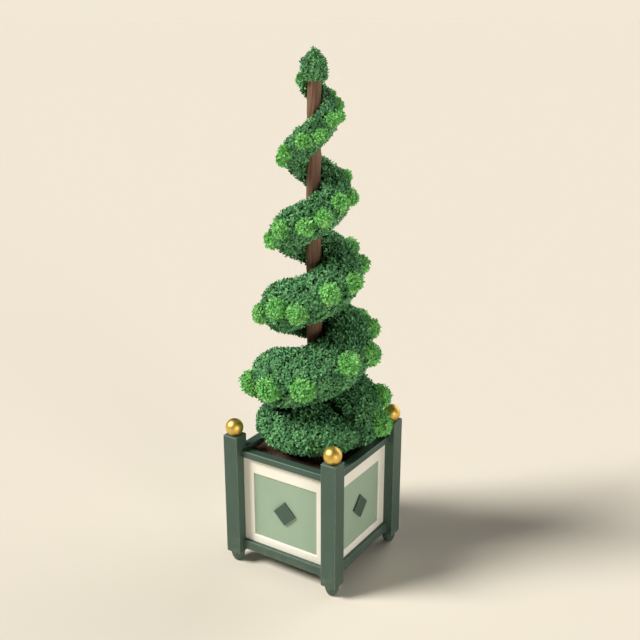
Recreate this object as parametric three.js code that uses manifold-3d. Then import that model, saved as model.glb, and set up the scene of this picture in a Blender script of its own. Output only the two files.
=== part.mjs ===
// A spiral topiary: an evergreen clipped into one roll of foliage that climbs round a bare trunk,
// growing in a square timber planter with ball finials.
// Millimetres, +Z up. The origin is on the ground under the middle of the planter; the front is -Y.

import * as THREE from 'three';
import { mergeVertices } from 'three/addons/utils/BufferGeometryUtils.js';
import Module from 'manifold-3d';

const wasm = await Module();
wasm.setup();

// ---------------------------------------------------------------- driving dimensions

const GAP = 0.3; // clearance between pieces that touch

const PLANTER = 225; // middle of the planter to the outer faces of its posts
const POST = { width: 57, height: 450, chamfer: 2.5 };
const FOOT = { height: 39.4, topRadius: 24, collar: 9, bottomRadius: 12 };
const BALL = { radius: 30.5, seat: 17.6 }; // seat: radius of the flat it stands on
const RAIL = { inset: 22.5, thickness: 34, chamfer: 2 };
const TOP_RAIL = { low: 372.4, high: 396.7 }; // heights above the foot of the posts
const BOTTOM_RAIL = { low: 16.4, high: 49.7, drop: 10, bracket: 20 };
const BOARD = { inset: 36.9, thickness: 17 };
const PANEL = { halfWidth: 128, low: 78.5, high: 315.7, recess: 8, thickness: 5.5 };
const DIAMOND = { halfDiagonal: 44, height: 197, thickness: 5, bevel: 1.5 };
const FLOOR = { low: 22, thickness: 18 };
const SOIL_TOP = 382.5; // above the foot of the posts
const SOIL_WAVE = { lengthX: 41, lengthY: 53, rise: 3, levelRadius: 80 }; // level round the trunk

const postFoot = FOOT.height;
const soilZ = postFoot + SOIL_TOP;

const TRUNK = { topZ: 1693, footRadius: 25.5, topRadius: 21, taper: 1.6, sides: 10 };
const FLARE = { reach: 15, height: 26, buttresses: 5, depth: 0.35 };

// The roll of foliage. Angles are in degrees of climb; the roll is drawn from a foot under the soil,
// so its leafy part starts some way up.
const ROLL = {
  footAngle: -111.3,
  startAngle: 27,
  turns: 4.813,
  footZ: 443.9,
  topZ: 1664.7,
  footReach: 148.6,
  topReach: 31.1,
  reachPower: 1.026,
  footRadius: 106.8,
  topRadius: 29.8,
  radiusPower: 0.895,
  plump: 1.088, // height of the roll's section over its width
};
const endAngle = ROLL.footAngle + 360 * ROLL.turns;

// The skirt of foliage round the trunk's foot, between two angles in degrees; spare is kept free at the
// ends of each of its pieces.
const SKIRT = {
  radius: 203.5,
  centreZ: 513,
  halfHeight: 82,
  squareness: 0.8,
  from: 88,
  to: 352,
  pieces: 3,
  inset: 9, // of the core under the skin
  spare: 0.35,
};
const TIP = { sides: 8, levels: [[1653, 35], [1664, 43], [1713, 36], [1743, 4]] }; // height, core radius
const TIP_TOP = 1749.4;
const TIP_MARGIN = { round: 8, below: 6 }; // room that the roll's leaves leave it
const GROWTH_DEPTH = 257; // the plant is clipped to this reach at the front and back
const GROWTH_GAP = 2; // between a leaf and what it keeps clear of

const MASSES = 19; // pieces of the roll
const CORE_SIDES = 10;
const FIRST_TURN_END = 400; // degrees of climb

// The tufts' places: an even step along the climb that sways, and a sway up and down the outer face.
const TUFTS = 46;
const TUFT_STEP = { first: 15.2, each: 35.26 }; // degrees
const SWAY_ALONG = [[6.2, 1.081, 3.35], [4.4, 3.005, 0.485]]; // degrees, pace, start
const SWAY_UP = [[12, 2.418, 5], [12, 0.608, 1.31]];
const TUFT_SINK = 0.14; // of its radius, into the roll
const ROSETTE = { blades: 4, middleSplay: 12, splay: 52, stray: 12, reach: 1.12 };

// Widths and lengths that follow the roll's radius: a fixed part and a share of it.
const sized = (fixed, share) => (radius) => fixed + share * radius;
const stand = sized(1.5, 0.03); // of the leaves above the core
const tuftRadius = sized(10, 0.37);
const stemRadius = sized(2, 0.09);
const rollLeafLength = sized(20, 0.26);
// A stem starts lower than its mass's middle by a share of the roll's radius; the rest are shares of its own.
const STEM = { drop: 0.1, taper: 0.6, twigFoot: 0.45, twigTip: 0.3 };
const SKIRT_STEM = { height: 35, foot: 10, tip: 6, reach: 0.5, drop: 12 };

const LEAF_THICKNESS = 0.055; // of a leaf's length
const LEAF_WIDTH = 0.52;
const LEAF_SINK = 7; // a leaf's root, under the core's skin
const ROLL_LEAVES = { count: 7, tilt: 28 }; // on each mass; degrees out of the skin
const SKIRT_LEAVES = { count: 12, tilt: 33, length: 46, lowest: -35, highest: 60 };
const TIP_LEAVES = { count: 14, length: 33, shorter: 8, spread: 0.55, lowSplay: 58, highSplay: 18 };
const GOLDEN_SHARE = 0.618;

const PAINT = { green: 0x46594c, cream: 0xefe6cf, sage: 0x9db592, gilt: 0xc99a3a };
const GROWTH = { leaf: 0x3f7040, bark: 0x6b4838, soil: 0x46322a };

// ---------------------------------------------------------------- solids

const rad = THREE.MathUtils.degToRad;
const vec = (x, y, z) => new THREE.Vector3(x, y, z);

function seeded(seed) {
  let state = seed;
  return () => {
    state = (state + 0x6d2b79f5) | 0;
    let mixed = Math.imul(state ^ (state >>> 15), 1 | state);
    mixed = (mixed + Math.imul(mixed ^ (mixed >>> 7), 61 | mixed)) ^ mixed;
    return ((mixed ^ (mixed >>> 14)) >>> 0) / 4294967296;
  };
}

// Six times the signed volume under a list of triangles: negative when they face inwards.
function signedVolume(points, faces) {
  return faces.reduce((sum, [a, b, c]) => sum + points[a].dot(points[b].clone().cross(points[c])), 0);
}

function solid(points, faces) {
  const outward = signedVolume(points, faces) > 0;
  const order = outward ? faces : faces.map(([a, b, c]) => [a, c, b]);
  return new wasm.Manifold(new wasm.Mesh({
    numProp: 3,
    vertProperties: new Float32Array(points.flatMap((p) => p.toArray())),
    triVerts: new Uint32Array(order.flat()),
  }));
}

function solidOf(geometry) {
  const bare = geometry.clone();
  bare.deleteAttribute('normal');
  bare.deleteAttribute('uv');
  const merged = mergeVertices(bare, 1e-4);
  return new wasm.Manifold(new wasm.Mesh({
    numProp: 3,
    vertProperties: new Float32Array(merged.attributes.position.array),
    triVerts: new Uint32Array(merged.index.array),
  }));
}

function geometryOf(body) {
  const mesh = body.getMesh();
  const geometry = new THREE.BufferGeometry();
  geometry.setAttribute('position', new THREE.BufferAttribute(mesh.vertProperties, 3));
  geometry.setIndex(new THREE.BufferAttribute(mesh.triVerts, 1));
  return geometry;
}

// A closed skin over a row of closed rings with equal numbers of points, with a fan over each end.
function loft(rings) {
  const sides = rings[0].length;
  const points = rings.flat();
  const faces = [];
  for (let ring = 0; ring + 1 < rings.length; ring += 1) {
    for (let side = 0; side < sides; side += 1) {
      const a = ring * sides + side;
      const b = ring * sides + (side + 1) % sides;
      faces.push([a, b, b + sides], [a, b + sides, a + sides]);
    }
  }
  for (const [ring, flipped] of [[0, true], [rings.length - 1, false]]) {
    const hub = points.push(middle(rings[ring])) - 1;
    for (let side = 0; side < sides; side += 1) {
      const a = ring * sides + side;
      const b = ring * sides + (side + 1) % sides;
      faces.push(flipped ? [hub, b, a] : [hub, a, b]);
    }
  }
  return solid(points, faces);
}

function middle(ring) {
  return ring.reduce((sum, p) => sum.add(p), vec(0, 0, 0)).divideScalar(ring.length);
}

// A level ring round the trunk's line, whose radius may change with the angle.
function levelRing(z, sides, radiusAt) {
  return Array.from({ length: sides }, (_, i) => {
    const angle = 2 * Math.PI * i / sides;
    const radius = radiusAt(angle);
    return vec(radius * Math.cos(angle), radius * Math.sin(angle), z);
  });
}

// A straight tapering limb.
function limb(from, to, fromRadius, toRadius, sides) {
  const along = to.clone().sub(from).normalize();
  const side = Math.abs(along.z) < 0.9 ? vec(0, 0, 1).cross(along).normalize() : vec(1, 0, 0);
  const other = along.clone().cross(side);
  return loft([[from, fromRadius], [to, toRadius]].map(([centre, radius]) => (
    Array.from({ length: sides }, (_, i) => {
      const angle = 2 * Math.PI * i / sides;
      return centre.clone()
        .addScaledVector(side, radius * Math.cos(angle))
        .addScaledVector(other, radius * Math.sin(angle));
    })
  )));
}

// A timber with chamfered corners, standing on z = 0.
function timber(width, depth, height, chamfer) {
  const x = width / 2 - chamfer;
  const y = depth / 2 - chamfer;
  const shape = new THREE.Shape([
    [x, -y - chamfer], [x + chamfer, -y], [x + chamfer, y], [x, y + chamfer],
    [-x, y + chamfer], [-x - chamfer, y], [-x - chamfer, -y], [-x, -y - chamfer],
  ].map(([px, py]) => new THREE.Vector2(px, py)));
  return new THREE.ExtrudeGeometry(shape, {
    depth: height - 2 * chamfer,
    bevelThickness: chamfer,
    bevelSize: chamfer,
    bevelOffset: -chamfer,
    bevelSegments: 1,
  }).translate(0, 0, chamfer);
}

// A turned piece on the Z axis from [radius, height] pairs.
function turned(profile, segments) {
  const points = profile.map(([radius, height]) => new THREE.Vector2(radius, height));
  return new THREE.LatheGeometry(points, segments).rotateX(Math.PI / 2);
}

// ---------------------------------------------------------------- planter

function postGeometry() {
  return timber(POST.width, POST.width, POST.height, POST.chamfer);
}

function footGeometry() {
  const top = FOOT.height - GAP;
  return turned([
    [0, 0],
    [FOOT.bottomRadius, 0],
    [FOOT.topRadius * 0.82, (top - FOOT.collar) * 0.42],
    [FOOT.topRadius, top - FOOT.collar],
    [FOOT.topRadius, top],
    [0, top],
  ], 14);
}

function ballGeometry() {
  const steps = 7;
  const low = -Math.acos(BALL.seat / BALL.radius);
  const arc = Array.from({ length: steps }, (_, i) => {
    const angle = low + (Math.PI / 2 - low) * i / steps;
    return [BALL.radius * Math.cos(angle), BALL.radius * Math.sin(angle)];
  });
  return turned([[0, arc[0][1]], ...arc, [0, BALL.radius]], 14).translate(0, 0, -arc[0][1]);
}

const railLength = 2 * (PLANTER - POST.width - GAP);
const railMiddle = PLANTER - RAIL.inset - RAIL.thickness / 2;

function topRailGeometry() {
  const height = TOP_RAIL.high - TOP_RAIL.low;
  return timber(height, RAIL.thickness, railLength, RAIL.chamfer)
    .translate(0, 0, -railLength / 2)
    .rotateY(Math.PI / 2)
    .translate(0, 0, height / 2);
}

// The bottom rail's lower edge is a flat arch that drops to a small curved bracket at each end.
function bottomRailGeometry() {
  const x = railLength / 2;
  const { drop, bracket } = BOTTOM_RAIL;
  const high = BOTTOM_RAIL.high - BOTTOM_RAIL.low;
  const shape = new THREE.Shape();
  shape.moveTo(-x, high);
  shape.lineTo(-x, -drop);
  shape.quadraticCurveTo(-x + bracket * 0.6, -drop * 0.2, -x + bracket, 0);
  shape.lineTo(x - bracket, 0);
  shape.quadraticCurveTo(x - bracket * 0.6, -drop * 0.2, x, -drop);
  shape.lineTo(x, high);
  const depth = RAIL.thickness;
  return new THREE.ExtrudeGeometry(shape, { depth, bevelEnabled: false, curveSegments: 4 })
    .rotateX(Math.PI / 2)
    .translate(0, depth / 2, 0);
}

const boardLow = BOTTOM_RAIL.high + GAP;
const boardHigh = TOP_RAIL.low - GAP;

// The cream side board, with a shallow recess in its outer face (-Y) for the panel.
function boardGeometry() {
  const panelHeight = PANEL.high - PANEL.low;
  const panelMiddle = (PANEL.high + PANEL.low) / 2;
  const board = new THREE.BoxGeometry(railLength, BOARD.thickness, boardHigh - boardLow)
    .translate(0, BOARD.thickness / 2, (boardHigh + boardLow) / 2);
  const recess = new THREE.BoxGeometry(2 * PANEL.halfWidth, 2 * PANEL.recess, panelHeight)
    .translate(0, 0, panelMiddle);
  return geometryOf(solidOf(board).subtract(solidOf(recess)));
}

function panelGeometry() {
  const width = 2 * (PANEL.halfWidth - GAP);
  const height = PANEL.high - PANEL.low - 2 * GAP;
  return new THREE.BoxGeometry(width, PANEL.thickness - GAP, height);
}

function diamondGeometry() {
  const corner = DIAMOND.halfDiagonal - DIAMOND.bevel * Math.SQRT2;
  const shape = new THREE.Shape([[corner, 0], [0, corner], [-corner, 0], [0, -corner]]
    .map(([x, y]) => new THREE.Vector2(x, y)));
  return new THREE.ExtrudeGeometry(shape, {
    depth: DIAMOND.thickness - 2 * DIAMOND.bevel,
    bevelThickness: DIAMOND.bevel,
    bevelSize: DIAMOND.bevel,
    bevelSegments: 1,
  }).translate(0, 0, DIAMOND.bevel).rotateX(Math.PI / 2);
}

const insideHalf = PLANTER - POST.width - GAP;

function floorGeometry() {
  return new THREE.BoxGeometry(2 * insideHalf, 2 * insideHalf, FLOOR.thickness);
}

// The root ball's earth fills the planter; its surface rises and dips a little round the trunk.
function soilGeometry() {
  const bottom = FLOOR.low + FLOOR.thickness + GAP;
  const geometry = new THREE.BoxGeometry(2 * insideHalf, 2 * insideHalf, SOIL_TOP - bottom, 6, 6, 1);
  geometry.translate(0, 0, (SOIL_TOP + bottom) / 2);
  const { position } = geometry.attributes;
  for (let i = 0; i < position.count; i += 1) {
    const x = position.getX(i);
    const y = position.getY(i);
    const nearTrunk = Math.hypot(x, y) < SOIL_WAVE.levelRadius;
    if (position.getZ(i) > bottom + 1 && !nearTrunk) {
      const wave = Math.sin(x / SOIL_WAVE.lengthX) * Math.cos(y / SOIL_WAVE.lengthY);
      position.setZ(i, SOIL_TOP + SOIL_WAVE.rise * (wave - 1));
    }
  }
  return geometry;
}

// ---------------------------------------------------------------- trunk

function trunkRadius(z) {
  const climb = (z - soilZ) / (TRUNK.topZ - soilZ);
  return THREE.MathUtils.lerp(TRUNK.footRadius, TRUNK.topRadius, Math.max(climb, 0) ** TRUNK.taper);
}

// The trunk tapers upwards; at the soil it flares into low root buttresses. It is fuller by grow.
function trunkSolid(grow) {
  const levels = [0, 8, 20, 40, 75, 200, 420, 640, 860, 1060, TRUNK.topZ - soilZ - GAP]; // above the soil
  const rings = levels.map((above, i) => {
    const flare = FLARE.reach * Math.exp(-above / FLARE.height);
    const z = soilZ + GAP + above + (i === 0 ? -grow * 3 : 0) + (i === levels.length - 1 ? grow : 0);
    return levelRing(z, TRUNK.sides, (angle) => (
      trunkRadius(soilZ + above) + flare * (1 + FLARE.depth * Math.cos(FLARE.buttresses * angle)) + grow
    ));
  });
  return loft(rings);
}

const trunkSpace = trunkSolid(GAP * 1.15);

// A block larger than the plant, from which room for its neighbours is cut.
const BLOCK = 1200;
const blockAt = (x, y, z) => solidOf(new THREE.BoxGeometry(BLOCK, BLOCK, BLOCK).translate(x, y, z));
const soilSpace = blockAt(0, 0, soilZ + GROWTH_GAP - BLOCK / 2);
const behindSpace = blockAt(0, GROWTH_DEPTH + BLOCK / 2, soilZ + BLOCK / 2);

// ---------------------------------------------------------------- the roll's path and section

// The roll at one angle of its climb: its middle, directions and half width.
function rollMiddle(angle) {
  const t = Math.min((angle - ROLL.footAngle) / (360 * ROLL.turns), 1);
  const left = 1 - t;
  const reach = ROLL.topReach + (ROLL.footReach - ROLL.topReach) * left ** ROLL.reachPower;
  return {
    centre: vec(
      reach * Math.cos(rad(angle)),
      reach * Math.sin(rad(angle)),
      THREE.MathUtils.lerp(ROLL.footZ, ROLL.topZ, t),
    ),
    reach,
    radius: ROLL.topRadius + (ROLL.footRadius - ROLL.topRadius) * left ** ROLL.radiusPower,
  };
}

function rollFrame(angle) {
  const { centre, reach, radius } = rollMiddle(angle);
  const along = rollMiddle(angle + 0.5).centre.sub(rollMiddle(angle - 0.5).centre).normalize();
  const outward = vec(Math.cos(rad(angle)), Math.sin(rad(angle)), 0);
  const upward = outward.clone().cross(along).normalize();
  // Before its start the roll closes in a round end.
  const past = rad(Math.max(ROLL.startAngle - angle, 0)) * reach;
  const bulk = radius * Math.sqrt(Math.max(1 - (past / radius) ** 2, 0));
  return { centre, along, outward, upward, radius, bulk };
}

const { reach: startReach, radius: startRadius } = rollMiddle(ROLL.startAngle);
const noseAngle = ROLL.startAngle - THREE.MathUtils.radToDeg(startRadius / startReach) * 0.99;

// A point of the roll's section: turn 0 is outward and 90 degrees is up; inset is taken off the skin.
function rollPoint(frame, turn, inset) {
  const least = 1.5;
  const width = Math.max(frame.bulk - inset, least);
  const height = Math.max(frame.bulk * ROLL.plump - inset, least);
  return frame.centre.clone()
    .addScaledVector(frame.outward, width * Math.cos(turn))
    .addScaledVector(frame.upward, height * Math.sin(turn));
}

// A stretch of the roll, drawn in at its ends by endShift. Its sections lie closer at the round end.
function rollSolid(from, to, insetAt, endShift, step = 17) {
  const steps = Math.max(Math.round((to - from) / step), 3);
  const easing = from < ROLL.startAngle ? 1.4 : 1;
  const rings = Array.from({ length: steps + 1 }, (_, i) => {
    const eased = (i / steps) ** easing;
    const frame = rollFrame(from + (to - from) * eased);
    const shift = { 0: endShift, [steps]: -endShift }[i] ?? 0;
    return Array.from({ length: CORE_SIDES }, (_unused, side) => (
      rollPoint(frame, 2 * Math.PI * side / CORE_SIDES, insetAt(frame.radius))
        .addScaledVector(frame.along, shift)
    ));
  });
  return loft(rings);
}

// ---------------------------------------------------------------- leaves and tufts

// A leaf is a flat eight-faced blade from a root along a direction, broad face to facing.
function leafPoints(root, direction, facing, length) {
  const across = facing.clone().cross(direction).normalize();
  const through = direction.clone().cross(across).normalize();
  const belly = root.clone().addScaledVector(direction, length * 0.5);
  return [
    root,
    root.clone().addScaledVector(direction, length),
    belly.clone().addScaledVector(across, length * LEAF_WIDTH / 2),
    belly.clone().addScaledVector(across, -length * LEAF_WIDTH / 2),
    belly.clone().addScaledVector(through, length * LEAF_THICKNESS / 2),
    belly.clone().addScaledVector(through, -length * LEAF_THICKNESS / 2),
  ];
}

const LEAF_FACES = [
  [0, 2, 4], [2, 1, 4], [1, 3, 4], [3, 0, 4],
  [2, 0, 5], [1, 2, 5], [3, 1, 5], [0, 3, 5],
];

function swayed(waves, index) {
  return waves.reduce((sum, [size, pace, start]) => sum + size * Math.sin(pace * index + start), 0);
}

function tuftAngle(index) {
  return TUFT_STEP.first + TUFT_STEP.each * index + swayed(SWAY_ALONG, index);
}

function tuftTurn(index) {
  return rad(swayed(SWAY_UP, index));
}

// The middle of a tuft, which lies just under the roll's skin.
function tuftKnot(frame, turn) {
  return rollPoint(frame, turn, tuftRadius(frame.radius) * TUFT_SINK);
}

// A tuft's lumpy knot of foliage, fuller by grow.
function tuftLump(index, grow = 0) {
  const frame = rollFrame(tuftAngle(index));
  const knot = tuftKnot(frame, tuftTurn(index));
  const lump = new THREE.IcosahedronGeometry(tuftRadius(frame.radius) + grow, 0);
  return solidOf(lump.rotateZ(index).rotateX(2 * index).translate(knot.x, knot.y, knot.z));
}

const endGap = GAP * 0.6; // from a mass's end to the section where its neighbour's room starts

// All that lies past the roll's cross section at a frame: ahead of it, or behind it where side is -1.
function beyond(frame, side) {
  const geometry = new THREE.BoxGeometry(BLOCK, BLOCK, BLOCK).translate(0, 0, BLOCK / 2 - endGap);
  const facing = frame.along.clone().multiplyScalar(side);
  const turn = new THREE.Quaternion().setFromUnitVectors(vec(0, 0, 1), facing);
  const { x, y, z } = frame.centre;
  return solidOf(geometry.applyQuaternion(turn).translate(x, y, z));
}

// Grows twigs and leaves on a core. A space says which points its leaves may use, and the neighbours'
// room is cut off the core and whatever is added to it.
class Mass {
  constructor(core, space, neighbours = []) {
    this.neighbours = neighbours;
    this.space = space;
    this.body = this.trimmed(core);
  }

  trimmed(piece) {
    return this.neighbours.reduce((rest, room) => rest.subtract(room), piece);
  }

  add(piece) {
    this.body = this.body.add(this.trimmed(piece));
  }

  leaf(root, direction, facing, length) {
    const points = leafPoints(root, direction, facing, length);
    if (points.slice(1).every(this.space)) {
      this.add(solid(points, LEAF_FACES));
    }
  }

  cut(piece) {
    this.body = this.body.subtract(piece);
  }
}

// A direction in the skin that leans upwards, by chance, and then out of it by tilt.
function leafDirection(normal, random, tilt) {
  const lean = vec(random() * 2 - 1, random() * 2 - 1, random() * 1.6 - 0.3);
  const flat = lean.projectOnPlane(normal).normalize();
  return flat.multiplyScalar(Math.cos(tilt)).addScaledVector(normal, Math.sin(tilt));
}

function clearOfTrunk(point) {
  return Math.hypot(point.x, point.y) > trunkRadius(point.z) + GROWTH_GAP;
}

function clearOfSoil(point) {
  return point.z > soilZ + GROWTH_GAP;
}

// Degrees round the trunk's axis, counted from an angle.
function degreesPast(from, point) {
  return (THREE.MathUtils.radToDeg(Math.atan2(point.y, point.x)) + 360 - from) % 360;
}

// The roll's leaves keep out of the skirt's squarish half oval, and of 2 degrees at its ends.
function clearOfSkirt(point) {
  const spare = 2;
  const flat = Math.hypot(point.x, point.y) / (SKIRT.radius + GROWTH_GAP);
  const tall = Math.abs(point.z - SKIRT.centreZ) / (SKIRT.halfHeight + GROWTH_GAP);
  const power = 2 / SKIRT.squareness;
  const beside = degreesPast(SKIRT.from - spare, point) > SKIRT.to - SKIRT.from + 2 * spare;
  return beside || flat ** power + tall ** power > 1;
}

function withinDepth(point) {
  return Math.abs(point.y) < GROWTH_DEPTH;
}

// The tip's core radius at a height, between its levels.
function tipRadiusAt(z) {
  const above = Math.max(TIP.levels.findIndex(([level]) => level > z), 1);
  const [[lowZ, lowRadius], [highZ, highRadius]] = TIP.levels.slice(above - 1, above + 1);
  const share = THREE.MathUtils.clamp((z - lowZ) / (highZ - lowZ), 0, 1);
  return THREE.MathUtils.lerp(lowRadius, highRadius, share);
}

function clearOfTip(point) {
  const outside = Math.hypot(point.x, point.y) > tipRadiusAt(point.z) + TIP_MARGIN.round;
  return outside || point.z < TIP.levels[0][0] - TIP_MARGIN.below;
}

// ---------------------------------------------------------------- foliage masses

// A tuft: a lumpy knot on the core, with a rosette of leaves out of it.
function growTuft(mass, index, random) {
  const frame = rollFrame(tuftAngle(index));
  const turn = tuftTurn(index);
  const size = tuftRadius(frame.radius);
  const normal = frame.outward.clone().multiplyScalar(Math.cos(turn))
    .addScaledVector(frame.upward, Math.sin(turn));
  const knot = tuftKnot(frame, turn);
  mass.add(tuftLump(index));
  for (let i = 0; i < ROSETTE.blades; i += 1) {
    const spin = 2 * Math.PI * (i + 0.5 * random()) / ROSETTE.blades;
    const splay = rad(i === 0 ? ROSETTE.middleSplay : ROSETTE.splay + ROSETTE.stray * random());
    const flat = frame.along.clone().multiplyScalar(Math.cos(spin))
      .addScaledVector(normal.clone().cross(frame.along), Math.sin(spin));
    const direction = normal.clone().multiplyScalar(Math.cos(splay)).addScaledVector(flat, Math.sin(splay));
    const length = size * (ROSETTE.reach + 0.12 * random());
    mass.leaf(knot, direction, normal.clone().addScaledVector(flat, -1), length);
  }
  return knot;
}

// One piece of the roll: a clipped core on a stem from the trunk, twigs to its tufts, leaves over its skin.
function rollMass(index, from, to, tufts) {
  const random = seeded(101 + index);
  const start = rollFrame(from);
  const end = rollFrame(to);
  const ahead = (point, frame) => point.clone().sub(frame.centre).dot(frame.along);
  const endMargin = 0.5;
  const space = (point) => (
    (index === 0 || ahead(point, start) > endMargin) && ahead(point, end) < -endMargin
    && clearOfTrunk(point) && clearOfSoil(point) && clearOfSkirt(point) && clearOfTip(point)
    && withinDepth(point)
  );
  const core = rollSolid(from, to, stand, index === 0 ? 0 : endGap);
  const ends = index === 0 ? [beyond(end, 1)] : [beyond(start, -1), beyond(end, 1)];
  const mass = new Mass(core, space, ends);

  const mid = rollFrame((from + to) / 2);
  const thick = stemRadius(mid.radius);
  const lowest = index === 0 ? soilZ : SKIRT.centreZ + SKIRT.halfHeight + thick + GROWTH_GAP;
  const foot = vec(0, 0, Math.max(mid.centre.z - STEM.drop * mid.radius, lowest));
  mass.add(limb(foot, mid.centre, thick, thick * STEM.taper, 6));
  for (const tuft of tufts) {
    const knot = growTuft(mass, tuft, random);
    mass.add(limb(mid.centre, knot, thick * STEM.twigFoot, thick * STEM.twigTip, 3));
  }
  for (let i = 0; i < ROLL_LEAVES.count; i += 1) {
    const frame = rollFrame(from + (to - from) * (i + 0.2 + 0.6 * random()) / ROLL_LEAVES.count);
    const turn = 2 * Math.PI * ((i * (1 - GOLDEN_SHARE) + 0.1 * random()) % 1);
    const normal = frame.outward.clone().multiplyScalar(Math.cos(turn))
      .addScaledVector(frame.upward, Math.sin(turn));
    const root = rollPoint(frame, turn, stand(frame.radius) + LEAF_SINK);
    const direction = leafDirection(normal, random, rad(ROLL_LEAVES.tilt));
    const fullEnough = frame.bulk > 0.6 * frame.radius;
    if (fullEnough) mass.leaf(root, direction, normal, rollLeafLength(frame.radius));
  }
  mass.cut(trunkSpace);
  return mass;
}

// A point of the skirt's squarish oval, rise radians up its section; inset is taken off the skin.
function skirtPoint(angle, rise, inset) {
  const squarish = (value) => Math.sign(value) * Math.abs(value) ** SKIRT.squareness;
  const reach = (SKIRT.radius - inset) * squarish(Math.cos(rise));
  const z = SKIRT.centreZ + (SKIRT.halfHeight - inset) * squarish(Math.sin(rise));
  return vec(reach * Math.cos(angle), reach * Math.sin(angle), z);
}

// The skirt's section at one angle round the trunk: half its oval on an upright inner edge.
function skirtRing(angle, inset) {
  const steps = 8;
  const innerReach = 8;
  return Array.from({ length: steps + 1 }, (_, i) => {
    const end = i === 0 || i === steps;
    const point = skirtPoint(angle, Math.PI * (i / steps - 0.5), inset);
    return end ? vec(innerReach * Math.cos(angle), innerReach * Math.sin(angle), point.z) : point;
  });
}

// The room that the roll's first turn and its tufts take, with a little to spare.
function firstTurnSpace() {
  let space = rollSolid(noseAngle, FIRST_TURN_END, () => -GROWTH_GAP, 0, 6);
  for (let i = 0; tuftAngle(i) < FIRST_TURN_END; i += 1) {
    space = space.add(tuftLump(i, GROWTH_GAP));
  }
  return space;
}

function skirtMass(index, rollSpace) {
  const random = seeded(301 + index);
  const sweep = (SKIRT.to - SKIRT.from) / SKIRT.pieces;
  const from = SKIRT.from + sweep * index;
  const steps = 5;
  const rings = Array.from({ length: steps + 1 }, (_, i) => (
    skirtRing(rad(from + SKIRT.spare + (sweep - 2 * SKIRT.spare) * i / steps), SKIRT.inset)
  ));
  const leafSpare = 1; // degrees
  const space = (point) => {
    const turn = degreesPast(from, point);
    return turn > leafSpare && turn < sweep - leafSpare && clearOfTrunk(point) && clearOfSoil(point)
      && !insideRoll(point, 3 * GROWTH_GAP);
  };
  const mass = new Mass(loft(rings), space);
  const middleAngle = rad(from + sweep / 2);
  const heart = vec(Math.cos(middleAngle), Math.sin(middleAngle), 0)
    .multiplyScalar(SKIRT.radius * SKIRT_STEM.reach)
    .setZ(SKIRT.centreZ - SKIRT_STEM.drop);
  mass.add(limb(vec(0, 0, soilZ + SKIRT_STEM.height), heart, SKIRT_STEM.foot, SKIRT_STEM.tip, 6));
  const { count, lowest, highest, tilt, length } = SKIRT_LEAVES;
  for (let i = 0; i < count; i += 1) {
    const angle = rad(from + sweep * (i + 0.5) / count);
    const rise = rad(lowest + (highest - lowest) * ((i * GOLDEN_SHARE) % 1));
    const normal = vec(Math.cos(angle) * Math.cos(rise), Math.sin(angle) * Math.cos(rise), Math.sin(rise));
    const root = skirtPoint(angle, rise, SKIRT.inset + LEAF_SINK);
    mass.leaf(root, leafDirection(normal, random, rad(tilt)), normal, length);
  }
  mass.cut(rollSpace);
  mass.cut(trunkSpace);
  return mass;
}

// True where a point lies within the first turn of the roll, or closer to it than margin. It is looked
// for among sections that lie 8 degrees apart and hold for 20 mm to each side.
function insideRoll(point, margin) {
  const [step, halfStretch] = [8, 20];
  for (let angle = noseAngle; angle < FIRST_TURN_END; angle += step) {
    const frame = rollFrame(angle);
    const away = point.clone().sub(frame.centre);
    const flat = away.dot(frame.outward) / (frame.bulk + margin);
    const tall = away.dot(frame.upward) / (frame.bulk * ROLL.plump + margin);
    if (Math.abs(away.dot(frame.along)) < halfStretch && flat * flat + tall * tall < 1) return true;
  }
  return false;
}

// The tip: a short tapering tuft over the trunk's end.
function tipMass() {
  const random = seeded(401);
  const rings = TIP.levels.map(([z, radius]) => levelRing(z, TIP.sides, () => radius));
  const mass = new Mass(loft(rings), (point) => point.z < TIP_TOP && point.z > TIP.levels[0][0]);
  const { count, length, shorter, spread, lowSplay, highSplay } = TIP_LEAVES;
  const [lowest, highest] = [TIP.levels[1][0] - 4, TIP.levels[3][0] - 16];
  for (let i = 0; i < count; i += 1) {
    const share = i / count;
    const z = THREE.MathUtils.lerp(lowest, highest, share);
    const angle = 2 * Math.PI * i * GOLDEN_SHARE;
    const outward = vec(Math.cos(angle), Math.sin(angle), 0);
    const root = outward.clone().multiplyScalar(spread * tipRadiusAt(z)).setZ(z);
    const splay = rad(THREE.MathUtils.lerp(lowSplay, highSplay, share)) + 0.1 * random();
    const direction = outward.clone().multiplyScalar(Math.sin(splay)).setZ(Math.cos(splay));
    mass.leaf(root, direction, outward, length - shorter * share);
  }
  mass.cut(trunkSpace);
  return mass;
}

// ---------------------------------------------------------------- assembly

const topiary = new THREE.Group();

const finish = (color, roughness, metalness = 0) => (
  new THREE.MeshStandardMaterial({ color, roughness, metalness, flatShading: true })
);
const greenPaint = finish(PAINT.green, 0.55);
const creamPaint = finish(PAINT.cream, 0.6);
const sagePaint = finish(PAINT.sage, 0.6);
const gilding = finish(PAINT.gilt, 0.3, 0.9);
const foliage = finish(GROWTH.leaf, 0.75);
const bark = finish(GROWTH.bark, 0.85);
const earth = finish(GROWTH.soil, 0.95);

function place(parent, name, geometry, material, x = 0, y = 0, z = 0) {
  const mesh = new THREE.Mesh(geometry, material);
  mesh.name = name;
  mesh.position.set(x, y, z);
  parent.add(mesh);
  return mesh;
}

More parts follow.
